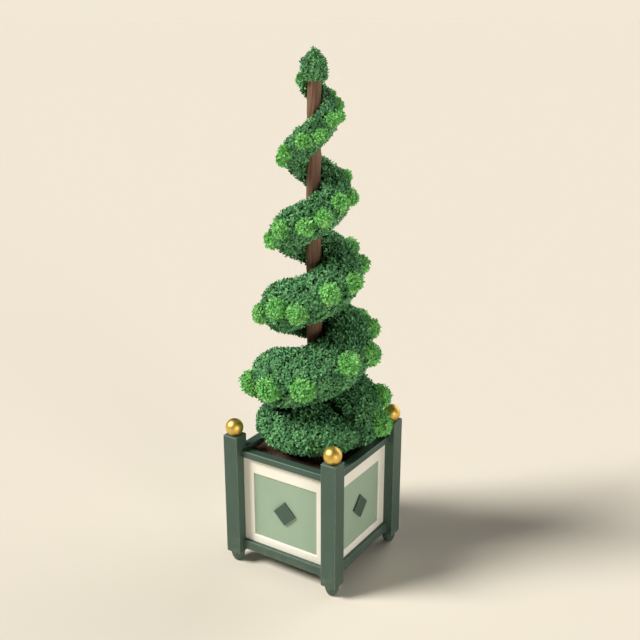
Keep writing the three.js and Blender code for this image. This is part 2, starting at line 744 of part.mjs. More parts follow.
function planter() {
  const box = new THREE.Group();
  box.position.z = postFoot;
  const postMiddle = PLANTER - POST.width / 2;
  const corners = [
    ['front_left', -1, -1], ['front_right', 1, -1], ['back_right', 1, 1], ['back_left', -1, 1],
  ];
  for (const [corner, sideX, sideY] of corners) {
    const [x, y] = [sideX * postMiddle, sideY * postMiddle];
    place(box, `foot_${corner}`, footGeometry(), greenPaint, x, y, -FOOT.height);
    place(box, `post_${corner}`, postGeometry(), greenPaint, x, y);
    place(box, `ball_${corner}`, ballGeometry(), gilding, x, y, POST.height + GAP);
  }
  ['front', 'right', 'back', 'left'].forEach((name, quarter) => {
    const side = new THREE.Group();
    side.rotation.z = quarter * Math.PI / 2;
    box.add(side);
    const boardFace = PLANTER - BOARD.inset;
    const panelFace = boardFace - PANEL.recess + PANEL.thickness;
    const panelMiddle = (PANEL.low + PANEL.high) / 2;
    place(side, `top_rail_${name}`, topRailGeometry(), greenPaint, 0, -railMiddle, TOP_RAIL.low);
    place(side, `bottom_rail_${name}`, bottomRailGeometry(), greenPaint, 0, -railMiddle, BOTTOM_RAIL.low);
    place(side, `board_${name}`, boardGeometry(), creamPaint, 0, -boardFace);
    place(side, `panel_${name}`, panelGeometry(), sagePaint,
      0, -panelFace + (PANEL.thickness - GAP) / 2, panelMiddle);
    place(side, `diamond_${name}`, diamondGeometry(), greenPaint, 0, -panelFace - GAP, DIAMOND.height);
  });
  place(box, 'planter_floor', floorGeometry(), greenPaint, 0, 0, FLOOR.low + FLOOR.thickness / 2);
  place(box, 'soil', soilGeometry(), earth);
  return box;
}

function plant() {
  const tree = new THREE.Group();
  place(tree, 'trunk', geometryOf(trunkSolid(0)), bark);
  const tip = tipMass();
  place(tree, 'tip_foliage', geometryOf(tip.body), foliage);

  const { round, below } = TIP_MARGIN;
  const tipSpace = loft(TIP.levels.map(([z, radius], i) => (
    levelRing(z + (i === 0 ? 2 - below : below - 2), TIP.sides * 2, () => radius + round - 2)
  )));
  const masses = [];
  let from = noseAngle;
  for (let i = 0; i < MASSES; i += 1) {
    const first = Math.floor(i * TUFTS / MASSES);
    const next = Math.floor((i + 1) * TUFTS / MASSES);
    const to = i === MASSES - 1 ? endAngle : (tuftAngle(next - 1) + tuftAngle(next)) / 2;
    const tufts = Array.from({ length: next - first }, (_, k) => first + k);
    masses.push(rollMass(i, from, to, tufts));
    from = to;
  }
  masses[0].cut(soilSpace);
  masses[1].cut(behindSpace);
  masses.slice(-2).forEach((mass) => mass.cut(tipSpace));
  masses.forEach((mass, i) => {
    const number = String(i + 1).padStart(2, '0');
    place(tree, `spiral_foliage_${number}`, geometryOf(mass.body), foliage);
  });

  const rollSpace = firstTurnSpace();
  for (let i = 0; i < SKIRT.pieces; i += 1) {
    place(tree, `skirt_foliage_${i + 1}`, geometryOf(skirtMass(i, rollSpace).body), foliage);
  }
  return tree;
}

topiary.add(planter(), plant());

export default topiary;
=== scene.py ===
"""The looks of a spiral topiary in a painted timber planter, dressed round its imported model.

Metres, +Z up, in the model's own frame: the planter stands on z = 0 and its front faces -Y. Every new
piece is a surface worked out with numpy, as a function of two parameters or as a profile carried along
a path. Every finish is a node material whose sums are written as Python expressions.
"""

import math

import bpy
import numpy as np
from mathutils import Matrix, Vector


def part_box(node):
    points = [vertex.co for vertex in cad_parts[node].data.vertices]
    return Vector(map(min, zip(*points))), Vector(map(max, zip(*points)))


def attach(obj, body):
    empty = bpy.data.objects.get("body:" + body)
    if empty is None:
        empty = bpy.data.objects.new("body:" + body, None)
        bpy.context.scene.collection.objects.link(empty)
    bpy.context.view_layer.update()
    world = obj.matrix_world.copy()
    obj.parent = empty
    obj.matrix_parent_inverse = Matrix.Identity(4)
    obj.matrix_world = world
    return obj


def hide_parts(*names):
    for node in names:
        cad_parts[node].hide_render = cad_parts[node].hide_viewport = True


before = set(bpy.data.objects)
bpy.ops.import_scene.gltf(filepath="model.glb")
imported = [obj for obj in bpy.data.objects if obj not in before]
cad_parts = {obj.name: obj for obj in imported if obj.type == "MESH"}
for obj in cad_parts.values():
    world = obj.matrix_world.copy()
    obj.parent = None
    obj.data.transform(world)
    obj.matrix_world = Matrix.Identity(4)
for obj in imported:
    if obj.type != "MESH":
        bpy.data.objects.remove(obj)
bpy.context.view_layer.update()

TAU = 2 * math.pi
SIDES = ("front", "right", "back", "left")
CORNERS = ("front_left", "front_right", "back_right", "back_left")


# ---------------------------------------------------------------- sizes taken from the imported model

def box(node):
    """The lowest and highest corner of one of the model's nodes, as arrays."""
    return tuple(np.array(corner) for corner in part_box(node))


# What touches keeps this much clear of its seat.
SEAT_GAP = 0.0003
soil_low, soil_high = box("soil")
trunk_low, trunk_high = box("trunk")
SOIL_Z = trunk_low[2] - SEAT_GAP
EARTH_HALF = soil_high[0] - 0.0004
TRUNK_TOP = trunk_high[2]
FOLIAGE = sorted(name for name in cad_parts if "foliage" in name)

# ---------------------------------------------------------------- sizes of the planter's finish

# Panels lie a little deeper than their solids, under the moulding of their frames.
PANEL_SINK = 0.0022
# Faces whose shortest side is over this stay flat: the broad ones of a timber, and none of a round piece.
TIMBER_FLAT = 0.004
ALL_SMOOTH = 1.0

# ---------------------------------------------------------------- sizes of the plant's growth

TRUNK = {"foot": 0.0255, "top": 0.021, "taper": 1.6, "flare": 0.015, "flare_height": 0.026}
# Knots in the bark: height, angle round the trunk and swell of each.
KNOTS = ((0.66, -1.2, 0.004), (0.93, 2.0, 0.003), (1.18, -1.9, 0.0035), (1.42, 0.4, 0.003))

# The roll's rule starts at foot_angle and climbs through its turns, and its foliage starts at start_angle.
# Reach is how far its middle is from the trunk's, and plump is how much taller than wide its section is.
ROLL = {
    "foot_angle": -111.3, "start_angle": 27.0, "turns": 4.813,
    "foot_z": 0.4439, "top_z": 1.6647,
    "foot_reach": 0.1486, "top_reach": 0.0311, "reach_power": 1.026,
    "foot_radius": 0.1068, "top_radius": 0.0298, "radius_power": 0.895,
    "plump": 1.088,
}
END_ANGLE = ROLL["foot_angle"] + 360 * ROLL["turns"]
# The roll is clipped flat behind, at this depth.
ROLL_BACK = 0.251

# The skirt is an oval turned about the trunk between two angles, with fuller shoulders for less squareness.
SKIRT = {
    "radius": 0.2035, "centre_z": 0.513, "half_height": 0.082, "squareness": 0.8,
    "from": 84.0, "to": 362.0,
}
# The tip's outline: radius and height, from the middle of its underside to its point.
TIP = np.array([[0.0, 1.654], [0.036, 1.654], [0.0445, 1.664], [0.0405, 1.717], [0.003, 1.754]])
# Each tuft's middle lies under the roll's skin by a share of the tuft's radius.
TUFTS = 46
TUFT_SINK = 0.14

# A leaf's width and thickness are shares of its length. LEAF_SCALE pairs the growth's radii with the
# leaves' scale.
LEAF_LENGTH = 0.0168
LEAF_WIDTH = 0.54
LEAF_THICKNESS = 0.03
LEAF_SCALE = ((0.03, 0.075), (0.82, 1.0))
# CLIPPED pairs the growth's radii with how much further in its shoots end. They are sunk further in the
# fold between roll and skirt, which is as wide as FOLD_WIDTH on either of them.
CLIPPED = ((0.05, 0.09), (0.0, 0.0035))
FOLD_WIDTH = 0.016
FOLD_SINK = 0.006
# Sprays of the roll keep this clear of the skirt, and those of the skirt of the roll.
CLEARANCE = 0.003

# What grows where. Shares are those of three tones from the first one on, dealt out in patches. Shoots
# have a length, lift upwards and stray by chance.
GROWTH = {
    "roll": {
        "shares": (0.30, 0.45, 0.25), "first": "deep", "patch": 0.11,
        "length": 0.042, "lift": 0.35, "stray": 0.30, "seed": 81},
    "skirt": {
        "shares": (0.24, 0.46, 0.30), "first": "deep", "patch": 0.11,
        "length": 0.042, "lift": 0.30, "stray": 0.30, "seed": 91},
    "tip": {
        "shares": (0.12, 0.40, 0.48), "first": "deep", "patch": 0.06,
        "length": 0.034, "lift": 0.65, "stray": 0.22, "seed": 101},
    "tufts": {
        "shares": (0.36, 0.40, 0.24), "first": "bright", "patch": 0.05,
        "length": 0.030, "lift": 0.45, "stray": 0.34, "seed": 111},
}
ROLL_SPRAYS = 6300
SKIRT_SPRAYS = 1150
TIP_SPRAYS = 210
TUFT_SPACING = 0.0135
INNER_TWIGS = 900
TRIANGLES_PER_PIECE = 190_000

PLASTIC_RATIO = 1.32471795724
GOLDEN_ANGLE = math.radians(137.508)


# ---------------------------------------------------------------- meshes from whole arrays

def grid_faces(rows, columns, wrap_rows=False, wrap_columns=True):
    """Quads between neighbouring rows and columns of a grid of points that is counted row by row."""
    row = np.arange(rows if wrap_rows else rows - 1)[:, None]
    column = np.arange(columns if wrap_columns else columns - 1)[None, :]
    next_row = (row + 1) % rows
    next_column = (column + 1) % columns
    corners = [row * columns + column, row * columns + next_column,
               next_row * columns + next_column, next_row * columns + column]
    return np.stack(corners, -1).reshape(-1, 4)


def carried(rings, capped=True):
    """The skin over a row of rings, an array of (ring, point, xyz), with a flat face over each end."""
    rows, columns = rings.shape[:2]
    faces = [grid_faces(rows, columns)]
    if capped:
        first = np.arange(columns)[::-1]
        last = np.arange(columns) + (rows - 1) * columns
        faces += [first[None, :], last[None, :]]
    return rings.reshape(-1, 3), faces


def faces_out(points, faces):
    """Turns a closed skin's faces over where the volume under them is negative."""
    total = 0.0
    for block in faces:
        hub = points[block[:, 0]]
        for corner in range(1, block.shape[1] - 1):
            second, third = points[block[:, corner]], points[block[:, corner + 1]]
            total += np.einsum("ij,ij->", hub, np.cross(second, third))
    return faces if total > 0 else [block[:, ::-1] for block in faces]


class Skin:
    """Surfaces gathered for one piece, with the numbers that its finish reads at each point."""

    def __init__(self):
        self.points = []
        self.faces = []
        self.marks = {}
        self.count = 0

    def add(self, points, faces, **marks):
        """Adds a closed surface, with each mark's values at its points."""
        self.faces += [block + self.count for block in faces_out(points, faces)]
        self.points.append(points)
        for name, values in marks.items():
            self.marks.setdefault(name, []).append(values)
        self.count += len(points)
        return self

    def piece(self, name, finish, slot, stands_for=(), flat_over=None):
        """Makes the mesh. Faces whose shortest side is over flat_over stay flat, and the rest are smooth."""
        points = np.concatenate(self.points).astype(np.float32)
        sizes = np.concatenate([np.full(len(block), block.shape[1]) for block in self.faces])
        corners = np.concatenate([block.ravel() for block in self.faces])
        starts = np.concatenate([[0], np.cumsum(sizes)[:-1]])
        mesh = bpy.data.meshes.new(name)
        mesh.vertices.add(len(points))
        mesh.vertices.foreach_set("co", points.ravel())
        mesh.loops.add(len(corners))
        mesh.loops.foreach_set("vertex_index", corners.astype(np.int32))
        mesh.polygons.add(len(sizes))
        mesh.polygons.foreach_set("loop_start", starts.astype(np.int32))
        if flat_over is None:
            smooth = np.zeros(len(sizes), bool)
        else:
            smooth = np.concatenate([shortest_side(points, block) < flat_over for block in self.faces])
        mesh.polygons.foreach_set("use_smooth", smooth)
        mesh.update(calc_edges=True)
        for mark, blocks in self.marks.items():
            values = np.concatenate(blocks).astype(np.float32)
            kind, field = ("FLOAT", "value") if values.ndim == 1 else ("FLOAT_VECTOR", "vector")
            mesh.attributes.new(mark, kind, "POINT").data.foreach_set(field, values.ravel())
        mesh.materials.append(finish)
        piece = bpy.data.objects.new(name, mesh)
        bpy.context.scene.collection.objects.link(piece)
        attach(piece, "root")
        if stands_for:
            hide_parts(*stands_for)
        return piece


def angles_round(count):
    """Even angles round the full circle."""
    return np.arange(count) / count * TAU


def polar(reach, angle, z):
    """Points from their distance to the upright axis, the angle round it and their height."""
    reach, angle, z = np.broadcast_arrays(reach, angle, z)
    return np.stack([reach * np.cos(angle), reach * np.sin(angle), z], -1)


def shortest_side(points, block):
    """The length of each face's shortest side."""
    around = points[block]
    return np.linalg.norm(around - np.roll(around, 1, axis=1), axis=2).min(axis=1)


def between(first, second, turn):
    """The vector that lies turn round from the first towards the second, which is square to it."""
    return first * np.cos(turn)[..., None] + second * np.sin(turn)[..., None]


def unit(vectors):
    """Each vector divided by its length."""
    return vectors / np.maximum(np.linalg.norm(vectors, axis=-1, keepdims=True), 1e-12)


def ripple(x, y, seed, waves=7):
    """Smooth noise, mostly from -1 to 1: a scaled sum of sine waves that run in chance directions, each with
    a pitch near one."""
    rng = np.random.default_rng(seed)
    heading = rng.uniform(0, TAU, waves)
    pitch = rng.uniform(0.6, 1.7, waves)
    phase = rng.uniform(0, TAU, waves)
    run = np.multiply.outer(x, np.cos(heading) * pitch) + np.multiply.outer(y, np.sin(heading) * pitch)
    return np.sin(run * TAU + phase).sum(-1) / math.sqrt(waves) / 1.5


# ---------------------------------------------------------------- node finishes

class Value:
    """A number, colour or vector from a node's socket. Sums on it add Math nodes."""

    def __init__(self, finish, socket):
        self.finish = finish
        self.socket = socket

    def sum(self, operation, *others):
        """A Math node on this value and the others."""
        values = dict(enumerate((self,) + others))
        return self.finish.node("ShaderNodeMath", {"operation": operation}, values)

    def __add__(self, other):
        return self.sum("ADD", other)

    def __sub__(self, other):
        return self.sum("SUBTRACT", other)

    def __mul__(self, other):
        return self.sum("MULTIPLY", other)

    __radd__ = __add__
    __rmul__ = __mul__

    def __rsub__(self, other):
        return self.finish.node("ShaderNodeMath", {"operation": "SUBTRACT"}, {0: other, 1: self})

    def rise(self, start, end):
        """0 below start, 1 above end and an even, rounded rise between them."""
        ends = {"From Min": start, "From Max": end, "Value": self}
        return self.finish.node("ShaderNodeMapRange", {"interpolation_type": "SMOOTHSTEP"}, ends)


class Finish:
    """A node material round one Principled shader."""

    def __init__(self, name, **fixed):
        self.material = bpy.data.materials.new(name)
        self.material.use_nodes = True
        self.tree = self.material.node_tree
        self.shader = self.tree.nodes["Principled BSDF"]
        self.set(**fixed)

    def set(self, **values):
        """Feeds the shader's sockets, named with _ for a space."""
        for name, value in values.items():
            self.feed(self.shader.inputs[name.replace("_", " ")], value)

    def feed(self, socket, value):
        """Links a value to a socket, or sets what is the same all over the surface on it."""
        if isinstance(value, Value):
            self.tree.links.new(value.socket, socket)
        elif socket.type == "RGBA" and len(value) == 3:
            socket.default_value = (*value, 1.0)
        else:
            socket.default_value = value

    def node(self, kind, settings=None, values=None, output=0):
        """Adds any node: its settings first, then the values or links of its sockets."""
        node = self.tree.nodes.new(kind)
        for name, setting in (settings or {}).items():
            setattr(node, name, setting)
        for name, value in (values or {}).items():
            self.feed(node.inputs[name], value)
        return Value(self, node.outputs[output])

    def place(self):
        """Object coordinates."""
        return self.node("ShaderNodeTexCoord", output="Object")

    def mark(self, name, output="Fac"):
        """A number that the piece carries at each point, or a vector with output Vector."""
        return self.node("ShaderNodeAttribute", {"attribute_name": name}, output=output)

    def stretched(self, at, stretch):
        """Coordinates scaled along each axis: a share under 1 draws a pattern out."""
        return self.node("ShaderNodeMapping", {}, {"Vector": at, "Scale": stretch})

    def noise(self, at, scale, stretch=(1, 1, 1), detail=3.0, rough=0.55):
        """Cloudy noise from 0 to 1 with scale cells to the metre, drawn out by stretch."""
        return self.node("ShaderNodeTexNoise", {}, {
            "Vector": self.stretched(at, stretch), "Scale": scale, "Detail": detail, "Roughness": rough})

    def cells(self, at, scale, stretch=(1, 1, 1)):
        """The distance to the nearest of scattered points, scale of them to the metre."""
        return self.node("ShaderNodeTexVoronoi", {}, {"Vector": self.stretched(at, stretch), "Scale": scale})

    def mix(self, amount, first, second):
        """The first colour where amount is 0 and the second where it is 1: the node's sockets 6 and 7."""
        return self.node("ShaderNodeMix", {"data_type": "RGBA"}, {0: amount, 6: first, 7: second}, output=2)

    def axis(self, name, vector):
        """One axis of a vector, by its name."""
        return self.node("ShaderNodeSeparateXYZ", {}, {0: vector}, output=name)

    def bump(self, height, depth):
        """Feeds relief of that depth in metres into the shader's normal."""
        relief = {"Strength": 1.0, "Distance": depth, "Height": height}
        self.set(Normal=self.node("ShaderNodeBump", {}, relief))


def paint_finish(name, colour, light, shade, rough):
    """Brushed paint on timber: strokes run along the grain, arrises are paler, from wear and a painted
    highlight, and the foot is dusty.
    """
    finish = Finish(name)
    grain = finish.mark("grain", "Vector")
    place = finish.place()
    strokes = finish.noise(grain, 260, (0.05, 1, 1), 4)
    wood = finish.noise(grain, 75, (0.035, 1, 1), 5)
    cloud = finish.noise(place, 6, detail=4)
    # Paler paint along the arrises: partly real wear, partly a painted highlight on the edges.
    wear_and_highlight = finish.mark("arris") * (0.45 + 0.55 * finish.noise(place, 45, detail=4).rise(0.30, 0.70))
    low = 1 - finish.axis("Z", place).rise(0.03, 0.14)
    base = finish.mix(cloud.rise(0.3, 0.72) * 0.6, colour, shade)
    base = finish.mix(strokes.rise(0.42, 0.7) * 0.10, base, light)
    base = finish.mix(wear_and_highlight * 0.6, base, light)
    base = finish.mix(low * finish.noise(place, 35, detail=5).rise(0.4, 0.75) * 0.2, base, (0.34, 0.29, 0.22))
    finish.set(Base_Color=base, Roughness=rough + strokes * 0.16 - wear_and_highlight * 0.08 + low * 0.1)
    finish.bump(strokes * 0.35 + wood.rise(0.3, 0.7) * 0.65, 0.00022)
    return finish.material


def gilding_finish():
    """Gold leaf on a turned ball: overlapping leaves give uneven gloss, with warm worn patches."""
    finish = Finish("gold_leaf", Metallic=1.0)
    place = finish.place()
    leaf = finish.cells(place, 55)
    cloud = finish.noise(place, 38, detail=4)
    worn = finish.noise(place, 150, detail=5).rise(0.62, 0.78)
    base = finish.mix(cloud.rise(0.3, 0.7), (0.88, 0.62, 0.17), (0.76, 0.49, 0.11))
    finish.set(Base_Color=finish.mix(worn * 0.5, base, (0.45, 0.24, 0.07)),
               Roughness=0.40 + cloud * 0.14 + worn * 0.2)
    finish.bump(leaf * 0.6 + cloud * 0.4, 0.0012)
    return finish.material


def bark_finish():
    """Thin ridged bark: long fissures between flat scales, darker inside and paler along the fibres."""
    finish = Finish("bark", Specular_IOR_Level=0.25)
    grain = finish.mark("grain", "Vector")
    relief = finish.mark("relief")
    fibre = finish.noise(grain, 60, (0.12, 1, 1), 6, 0.62)
    scale = finish.cells(grain, 34, (0.25, 1, 1))
    cloud = finish.noise(finish.place(), 9, detail=4)
    base = finish.mix(cloud.rise(0.3, 0.7), (0.215, 0.117, 0.074), (0.165, 0.090, 0.058))
    base = finish.mix(fibre.rise(0.45, 0.72) * 0.55, base, (0.31, 0.195, 0.128))
    base = finish.mix((1 - relief.rise(0.15, 0.5)) * 0.55, base, (0.085, 0.046, 0.031))
    finish.set(Base_Color=base, Roughness=0.86 - fibre * 0.12)
    finish.bump(fibre * 0.6 + scale * 0.4, 0.0016)
    return finish.material


def soil_finish():
    """Moist potting earth: dark crumbs with paler specks of fibre and grit."""
    finish = Finish("potting_soil", Specular_IOR_Level=0.2)
    place = finish.place()
    crumbs = finish.noise(place, 240, detail=6, rough=0.7)
    damp = finish.noise(place, 14, detail=4)
    base = finish.mix(damp.rise(0.3, 0.7), (0.075, 0.042, 0.030), (0.125, 0.075, 0.052))
    base = finish.mix(crumbs.rise(0.58, 0.75) * 0.6, base, (0.17, 0.105, 0.07))
    finish.set(Base_Color=base, Roughness=0.92 - damp * 0.12)
    finish.bump(crumbs, 0.002)
    return finish.material


def shade_finish():
    """The inside of the clipped roll, where old leaves and twigs close up, coloured very dark green as
    painted shade.
    """
    finish = Finish("inner_shade", Specular_IOR_Level=0.1)
    place = finish.place()
    flecks = finish.cells(place, 120)
    tone = finish.mix(flecks.rise(0.2, 0.7), (0.018, 0.045, 0.018), (0.045, 0.10, 0.035))
    finish.set(Base_Color=tone, Roughness=0.9)
    finish.bump(flecks, 0.004)
    return finish.material


def twig_finish():
    """Young wood: olive brown with a faint streak."""
    finish = Finish("young_twigs", Specular_IOR_Level=0.25)
    streak = finish.noise(finish.place(), 90, detail=4)
    finish.set(Base_Color=finish.mix(streak.rise(0.3, 0.7), (0.10, 0.085, 0.035), (0.16, 0.10, 0.055)),
               Roughness=0.8)
    finish.bump(streak, 0.0006)
    return finish.material


def leaf_finish(name, colour):
    """A leaf's waxy green. Its colour is plain, since each spray is dealt its own."""
    return Finish(name, Base_Color=colour, Roughness=0.55, Specular_IOR_Level=0.2).material


green_paint = paint_finish(
    "green_paint", (0.050, 0.095, 0.068), light=(0.17, 0.25, 0.20), shade=(0.042, 0.082, 0.058), rough=0.42)
cream_paint = paint_finish(
    "cream_paint", (0.90, 0.87, 0.765), light=(0.96, 0.94, 0.87), shade=(0.85, 0.81, 0.69), rough=0.46)
sage_paint = paint_finish(
    "sage_paint", (0.325, 0.44, 0.315), light=(0.41, 0.52, 0.40), shade=(0.30, 0.415, 0.295), rough=0.48)
gold_leaf = gilding_finish()
bark = bark_finish()
potting_soil = soil_finish()
inner_shade = shade_finish()
young_twigs = twig_finish()

# The roll, skirt and tip are dealt the first three, and the tufts of new growth the last three.
LEAF_COLOURS = {
    "deep": (0.094, 0.271, 0.114),
    "mid": (0.141, 0.385, 0.164),
    "fresh": (0.209, 0.492, 0.207),
    "bright": (0.209, 0.580, 0.164),
    "light": (0.270, 0.673, 0.202),
    "lightest": (0.357, 0.756, 0.262),
}
TONES = list(LEAF_COLOURS)
leaf_greens = {tone: leaf_finish(f"leaf_{tone}", colour) for tone, colour in LEAF_COLOURS.items()}


# ---------------------------------------------------------------- planter joinery

def quarter_turn(points, quarter):
    """Points turned about the upright axis by whole quarter turns, from the front side to the others."""
    c, s = [(1, 0), (0, 1), (-1, 0), (0, -1)][quarter]
    x, y, z = points[..., 0], points[..., 1], points[..., 2]
    return np.stack([c * x - s * y, s * x + c * y, z], -1)


def rounded_ring(half, corner, steps=4):
    """Rectangles with round corners, counterclockwise: each corner is a quarter circle of steps + 1 points.
    half holds the half sizes of each ring and corner its corner radius, so many rings come at once."""
    quarter = np.repeat(np.arange(4), steps + 1)
    angle = np.tile(np.linspace(0, math.pi / 2, steps + 1), 4) + quarter * math.pi / 2
    middle = (quarter + 0.5) * math.pi / 2
    side = np.sign(np.stack([np.cos(middle), np.sin(middle)], -1))
    arc = np.stack([np.cos(angle), np.sin(angle)], -1)
    half = np.asarray(half)[..., None, :]
    corner = np.asarray(corner)[..., None, None]
    return side * (half - corner) + arc * corner


def end_rounding(length, rounding, steps=4):
    """Rows along a timber, through a quarter circle at each end: how far each is drawn in, and its place."""
    turn = np.linspace(0, math.pi / 2, steps + 1)
    inset = rounding * (1 - np.sin(turn))
    place = rounding * (1 - np.cos(turn))
    return np.concatenate([inset, inset[::-1]]), np.concatenate([place, (length - place)[::-1]])


def arris_mark(inset, rounding, columns, steps=4):
    """1 along a timber's rounded edges and 0 on its faces: the sine of how far round its arc a point lies."""
    row = np.sin(np.pi * np.clip(inset / rounding, 0, 1))
    column = np.tile(np.sin(np.linspace(0, math.pi, steps + 1)), columns // (steps + 1))
    return np.maximum(row[:, None], column[None, :]).ravel()


def timber(low, high, axis, rounding, offset):
    """A timber with rounded edges: a rounded rectangle across its grain, drawn in at both ends and carried
    along axis. offset moves its grain so that no two timbers match."""
    order = [(axis + 1) % 3, (axis + 2) % 3, axis]
    low, high = np.asarray(low)[order], np.asarray(high)[order]
    inset, place = end_rounding(high[2] - low[2], rounding)
    half = (high[:2] - low[:2]) / 2 - inset[:, None]
    ring = rounded_ring(half, 1.25 * rounding - inset) + (high[:2] + low[:2]) / 2
    along = np.broadcast_to((low[2] + place)[:, None, None], ring.shape[:2] + (1,))
    local = np.concatenate([ring, along], -1)
    points, faces = carried(local)
    grain = points[:, [2, 0, 1]] + offset
    return points[:, np.argsort(order)], faces, {
        "grain": grain, "arris": arris_mark(inset, rounding, ring.shape[1])}


def on_each_side(points, faces, marks, shift, name, finish, slot, node, flat_over=TIMBER_FLAT):
    """Turns the front side's piece round to all four sides. Its grain moves by shift from side to side, so
    that no two match."""
    for quarter, side in enumerate(SIDES):
        moved = {**marks, "grain": marks["grain"] + shift * quarter}
        Skin().add(quarter_turn(points, quarter), faces, **moved).piece(
            f"{name}_{side}", finish, slot, [f"{node}_{side}"], flat_over)


def posts():
    """Four corner posts, each one timber on end."""
    for i, corner in enumerate(CORNERS):
        points, faces, marks = timber(*box(f"post_{corner}"), axis=2, rounding=0.0030, offset=1.7 * i)
        Skin().add(points, faces, **marks).piece(
            f"corner_post_{corner}", green_paint, "green_paint", [f"post_{corner}"], TIMBER_FLAT)


def lathed(profile, centre, segments=48):
    """A turned piece: the profile's (radius, height) pairs carried round the upright axis through centre."""
    return carried(polar(profile[:, 0, None], angles_round(segments), profile[:, 1, None]) + centre)


def feet():
    """Turned bun feet: radius = a sine bulge from the narrow toe to the collar under the post. The arris
    mark is a bell curve over height, at the collar."""
    toe, widest, collar_height, bevel = 0.012, 0.024, 0.006, 0.0015
    for i, corner in enumerate(CORNERS):
        low, high = box(f"foot_{corner}")
        tall = high[2] - low[2]
        share = np.linspace(0, 1, 14)
        bulge = toe + (widest - toe) * np.sin(share * math.pi / 2) ** 0.85
        profile = np.stack([bulge, share * (tall - collar_height)], -1)
        toe_edge = np.array([[toe - bevel, 0.0]])
        profile[0, 1] = 0.8 * bevel
        collar = np.array([[widest, tall - 0.004], [widest - bevel, tall - 0.0032], [widest - bevel, tall]])
        centre = np.append((low[:2] + high[:2]) / 2, low[2])
        points, faces = lathed(np.concatenate([toe_edge, profile, collar]), centre)
        edge = np.exp(-((points[:, 2] - low[2] - tall + 0.0045) / 0.0012) ** 2)
        Skin().add(points, faces, grain=points[:, [2, 0, 1]] + 0.9 * i, arris=edge).piece(
            f"bun_foot_{corner}", green_paint, "green_paint", [f"foot_{corner}"], ALL_SMOOTH)


def finials():
    """Gilded balls: a circle carried round the upright axis, cut flat where it sits on the post. The radius
    follows from the ball's height h and its seat's radius s: (h squared + s squared) / 2h."""
    seat = 0.0176
    for corner in CORNERS:
        low, high = box(f"ball_{corner}")
        tall = high[2] - low[2]
        radius = (tall ** 2 + seat ** 2) / (2 * tall)
        middle = np.append((low[:2] + high[:2]) / 2, high[2] - radius)
        turn = np.linspace(-math.acos(seat / radius), math.pi / 2 - 0.01, 44)
        profile = np.stack([radius * np.cos(turn), radius * np.sin(turn)], -1)
        points, faces = lathed(profile, middle, 64)
        Skin().add(points, faces).piece(
            f"finial_{corner}", gold_leaf, "gilding", [f"ball_{corner}"], ALL_SMOOTH)


def top_rails():
    """Rails that close the planter's rim, one timber to a side."""
    rail = timber(*box("top_rail_front"), axis=0, rounding=0.0026, offset=2.3)
    on_each_side(*rail, 1.1, "rim_rail", green_paint, "green_paint", "top_rail")


def bottom_rails():
    """Rails with a flat arch cut below: the lower edge stays level and drops by a quarter wave to a bracket
    at each end. A rounded rectangle is carried along it, its height following that edge."""
    low, high = box("bottom_rail_front")
    bracket, drop, rounding = 0.020, 0.010, 0.0022
    x = np.concatenate([
        np.linspace(low[0], low[0] + bracket, 12), np.linspace(high[0] - bracket, high[0], 12)])
    inward = np.clip(np.minimum(x - low[0], high[0] - x) / bracket, 0, 1)
    edge = low[2] + drop * np.sin(inward * math.pi / 2) ** 0.7
    half = np.stack([np.full(len(x), (high[1] - low[1]) / 2), (high[2] - edge) / 2], -1)
    ring = rounded_ring(half, np.full(len(x), rounding))
    across = ring[..., 0] + (high[1] + low[1]) / 2
    upward = ring[..., 1] + ((high[2] + edge) / 2)[:, None]
    rings = np.stack([np.broadcast_to(x[:, None], across.shape), across, upward], -1)
    points, faces = carried(rings)
    marks = {"grain": points + 5.1, "arris": arris_mark(np.zeros(len(x)), rounding, ring.shape[1])}
    on_each_side(points, faces, marks, 1.3, "arched_rail", green_paint, "green_paint", "bottom_rail")


def boards():
    """Cream frames: a moulded profile carried round the panel's opening with mitred corners. The profile
    runs up the opening, over a quarter round, across the flat face and back behind."""
    low, high = box("board_front")
    inner_low, inner_high = box("panel_front")
    face, back = low[1], high[1]
    opening = (inner_high - inner_low)[[0, 2]] / 2 + SEAT_GAP
    centre = (inner_high + inner_low)[[0, 2]] / 2
    turn = np.linspace(0, math.pi / 2, 7)
    lip, step = 0.0040, 0.002
    quarter_round = np.stack([lip * (1 - np.cos(turn)), face + lip * (1 - np.sin(turn))], -1)
    inner_edge = np.array([[0.0, back], [0.0, face + lip + step]])
    corner = np.array([[-1, -1], [1, -1], [1, 1], [-1, 1]])
    profile = np.concatenate([inner_edge, quarter_round])
    inner = centre + corner * (opening + profile[:, :1])[:, None, :]
    outer_low, outer_high = low[[0, 2]], high[[0, 2]]
    outer = np.where(corner > 0, outer_high, outer_low)
    rings = np.concatenate([inner, outer[None], outer[None]])
    depth = np.concatenate([profile[:, 1], [face, back]])
    y = np.broadcast_to(depth[:, None], rings.shape[:2])
    points = np.stack([rings[..., 0], y, rings[..., 1]], -1).reshape(-1, 3)
    faces = [grid_faces(len(rings), 4, wrap_rows=True)]
    arris = np.zeros((len(rings), 4))
    arris[len(inner_edge) + 2:len(inner_edge) + 6] = 0.8
    marks = {"grain": points[:, [2, 0, 1]], "arris": arris.ravel()}
    on_each_side(points, faces, marks, 3.7, "cream_frame", cream_paint, "cream_paint", "board", None)


def panels():
    """Sage panels: one broad timber each, with soft edges, set a little deeper in the frame than its solid
    and with a narrow shadow gap round it."""
    gap = np.array([0.0009, 0, 0.0009])
    low, high = box("panel_front")
    low[1] += PANEL_SINK
    panel = timber(low + gap, high - gap, axis=2, rounding=0.0008, offset=4.4)
    on_each_side(*panel, 0.8, "sage_panel", sage_paint, "sage_paint", "panel")


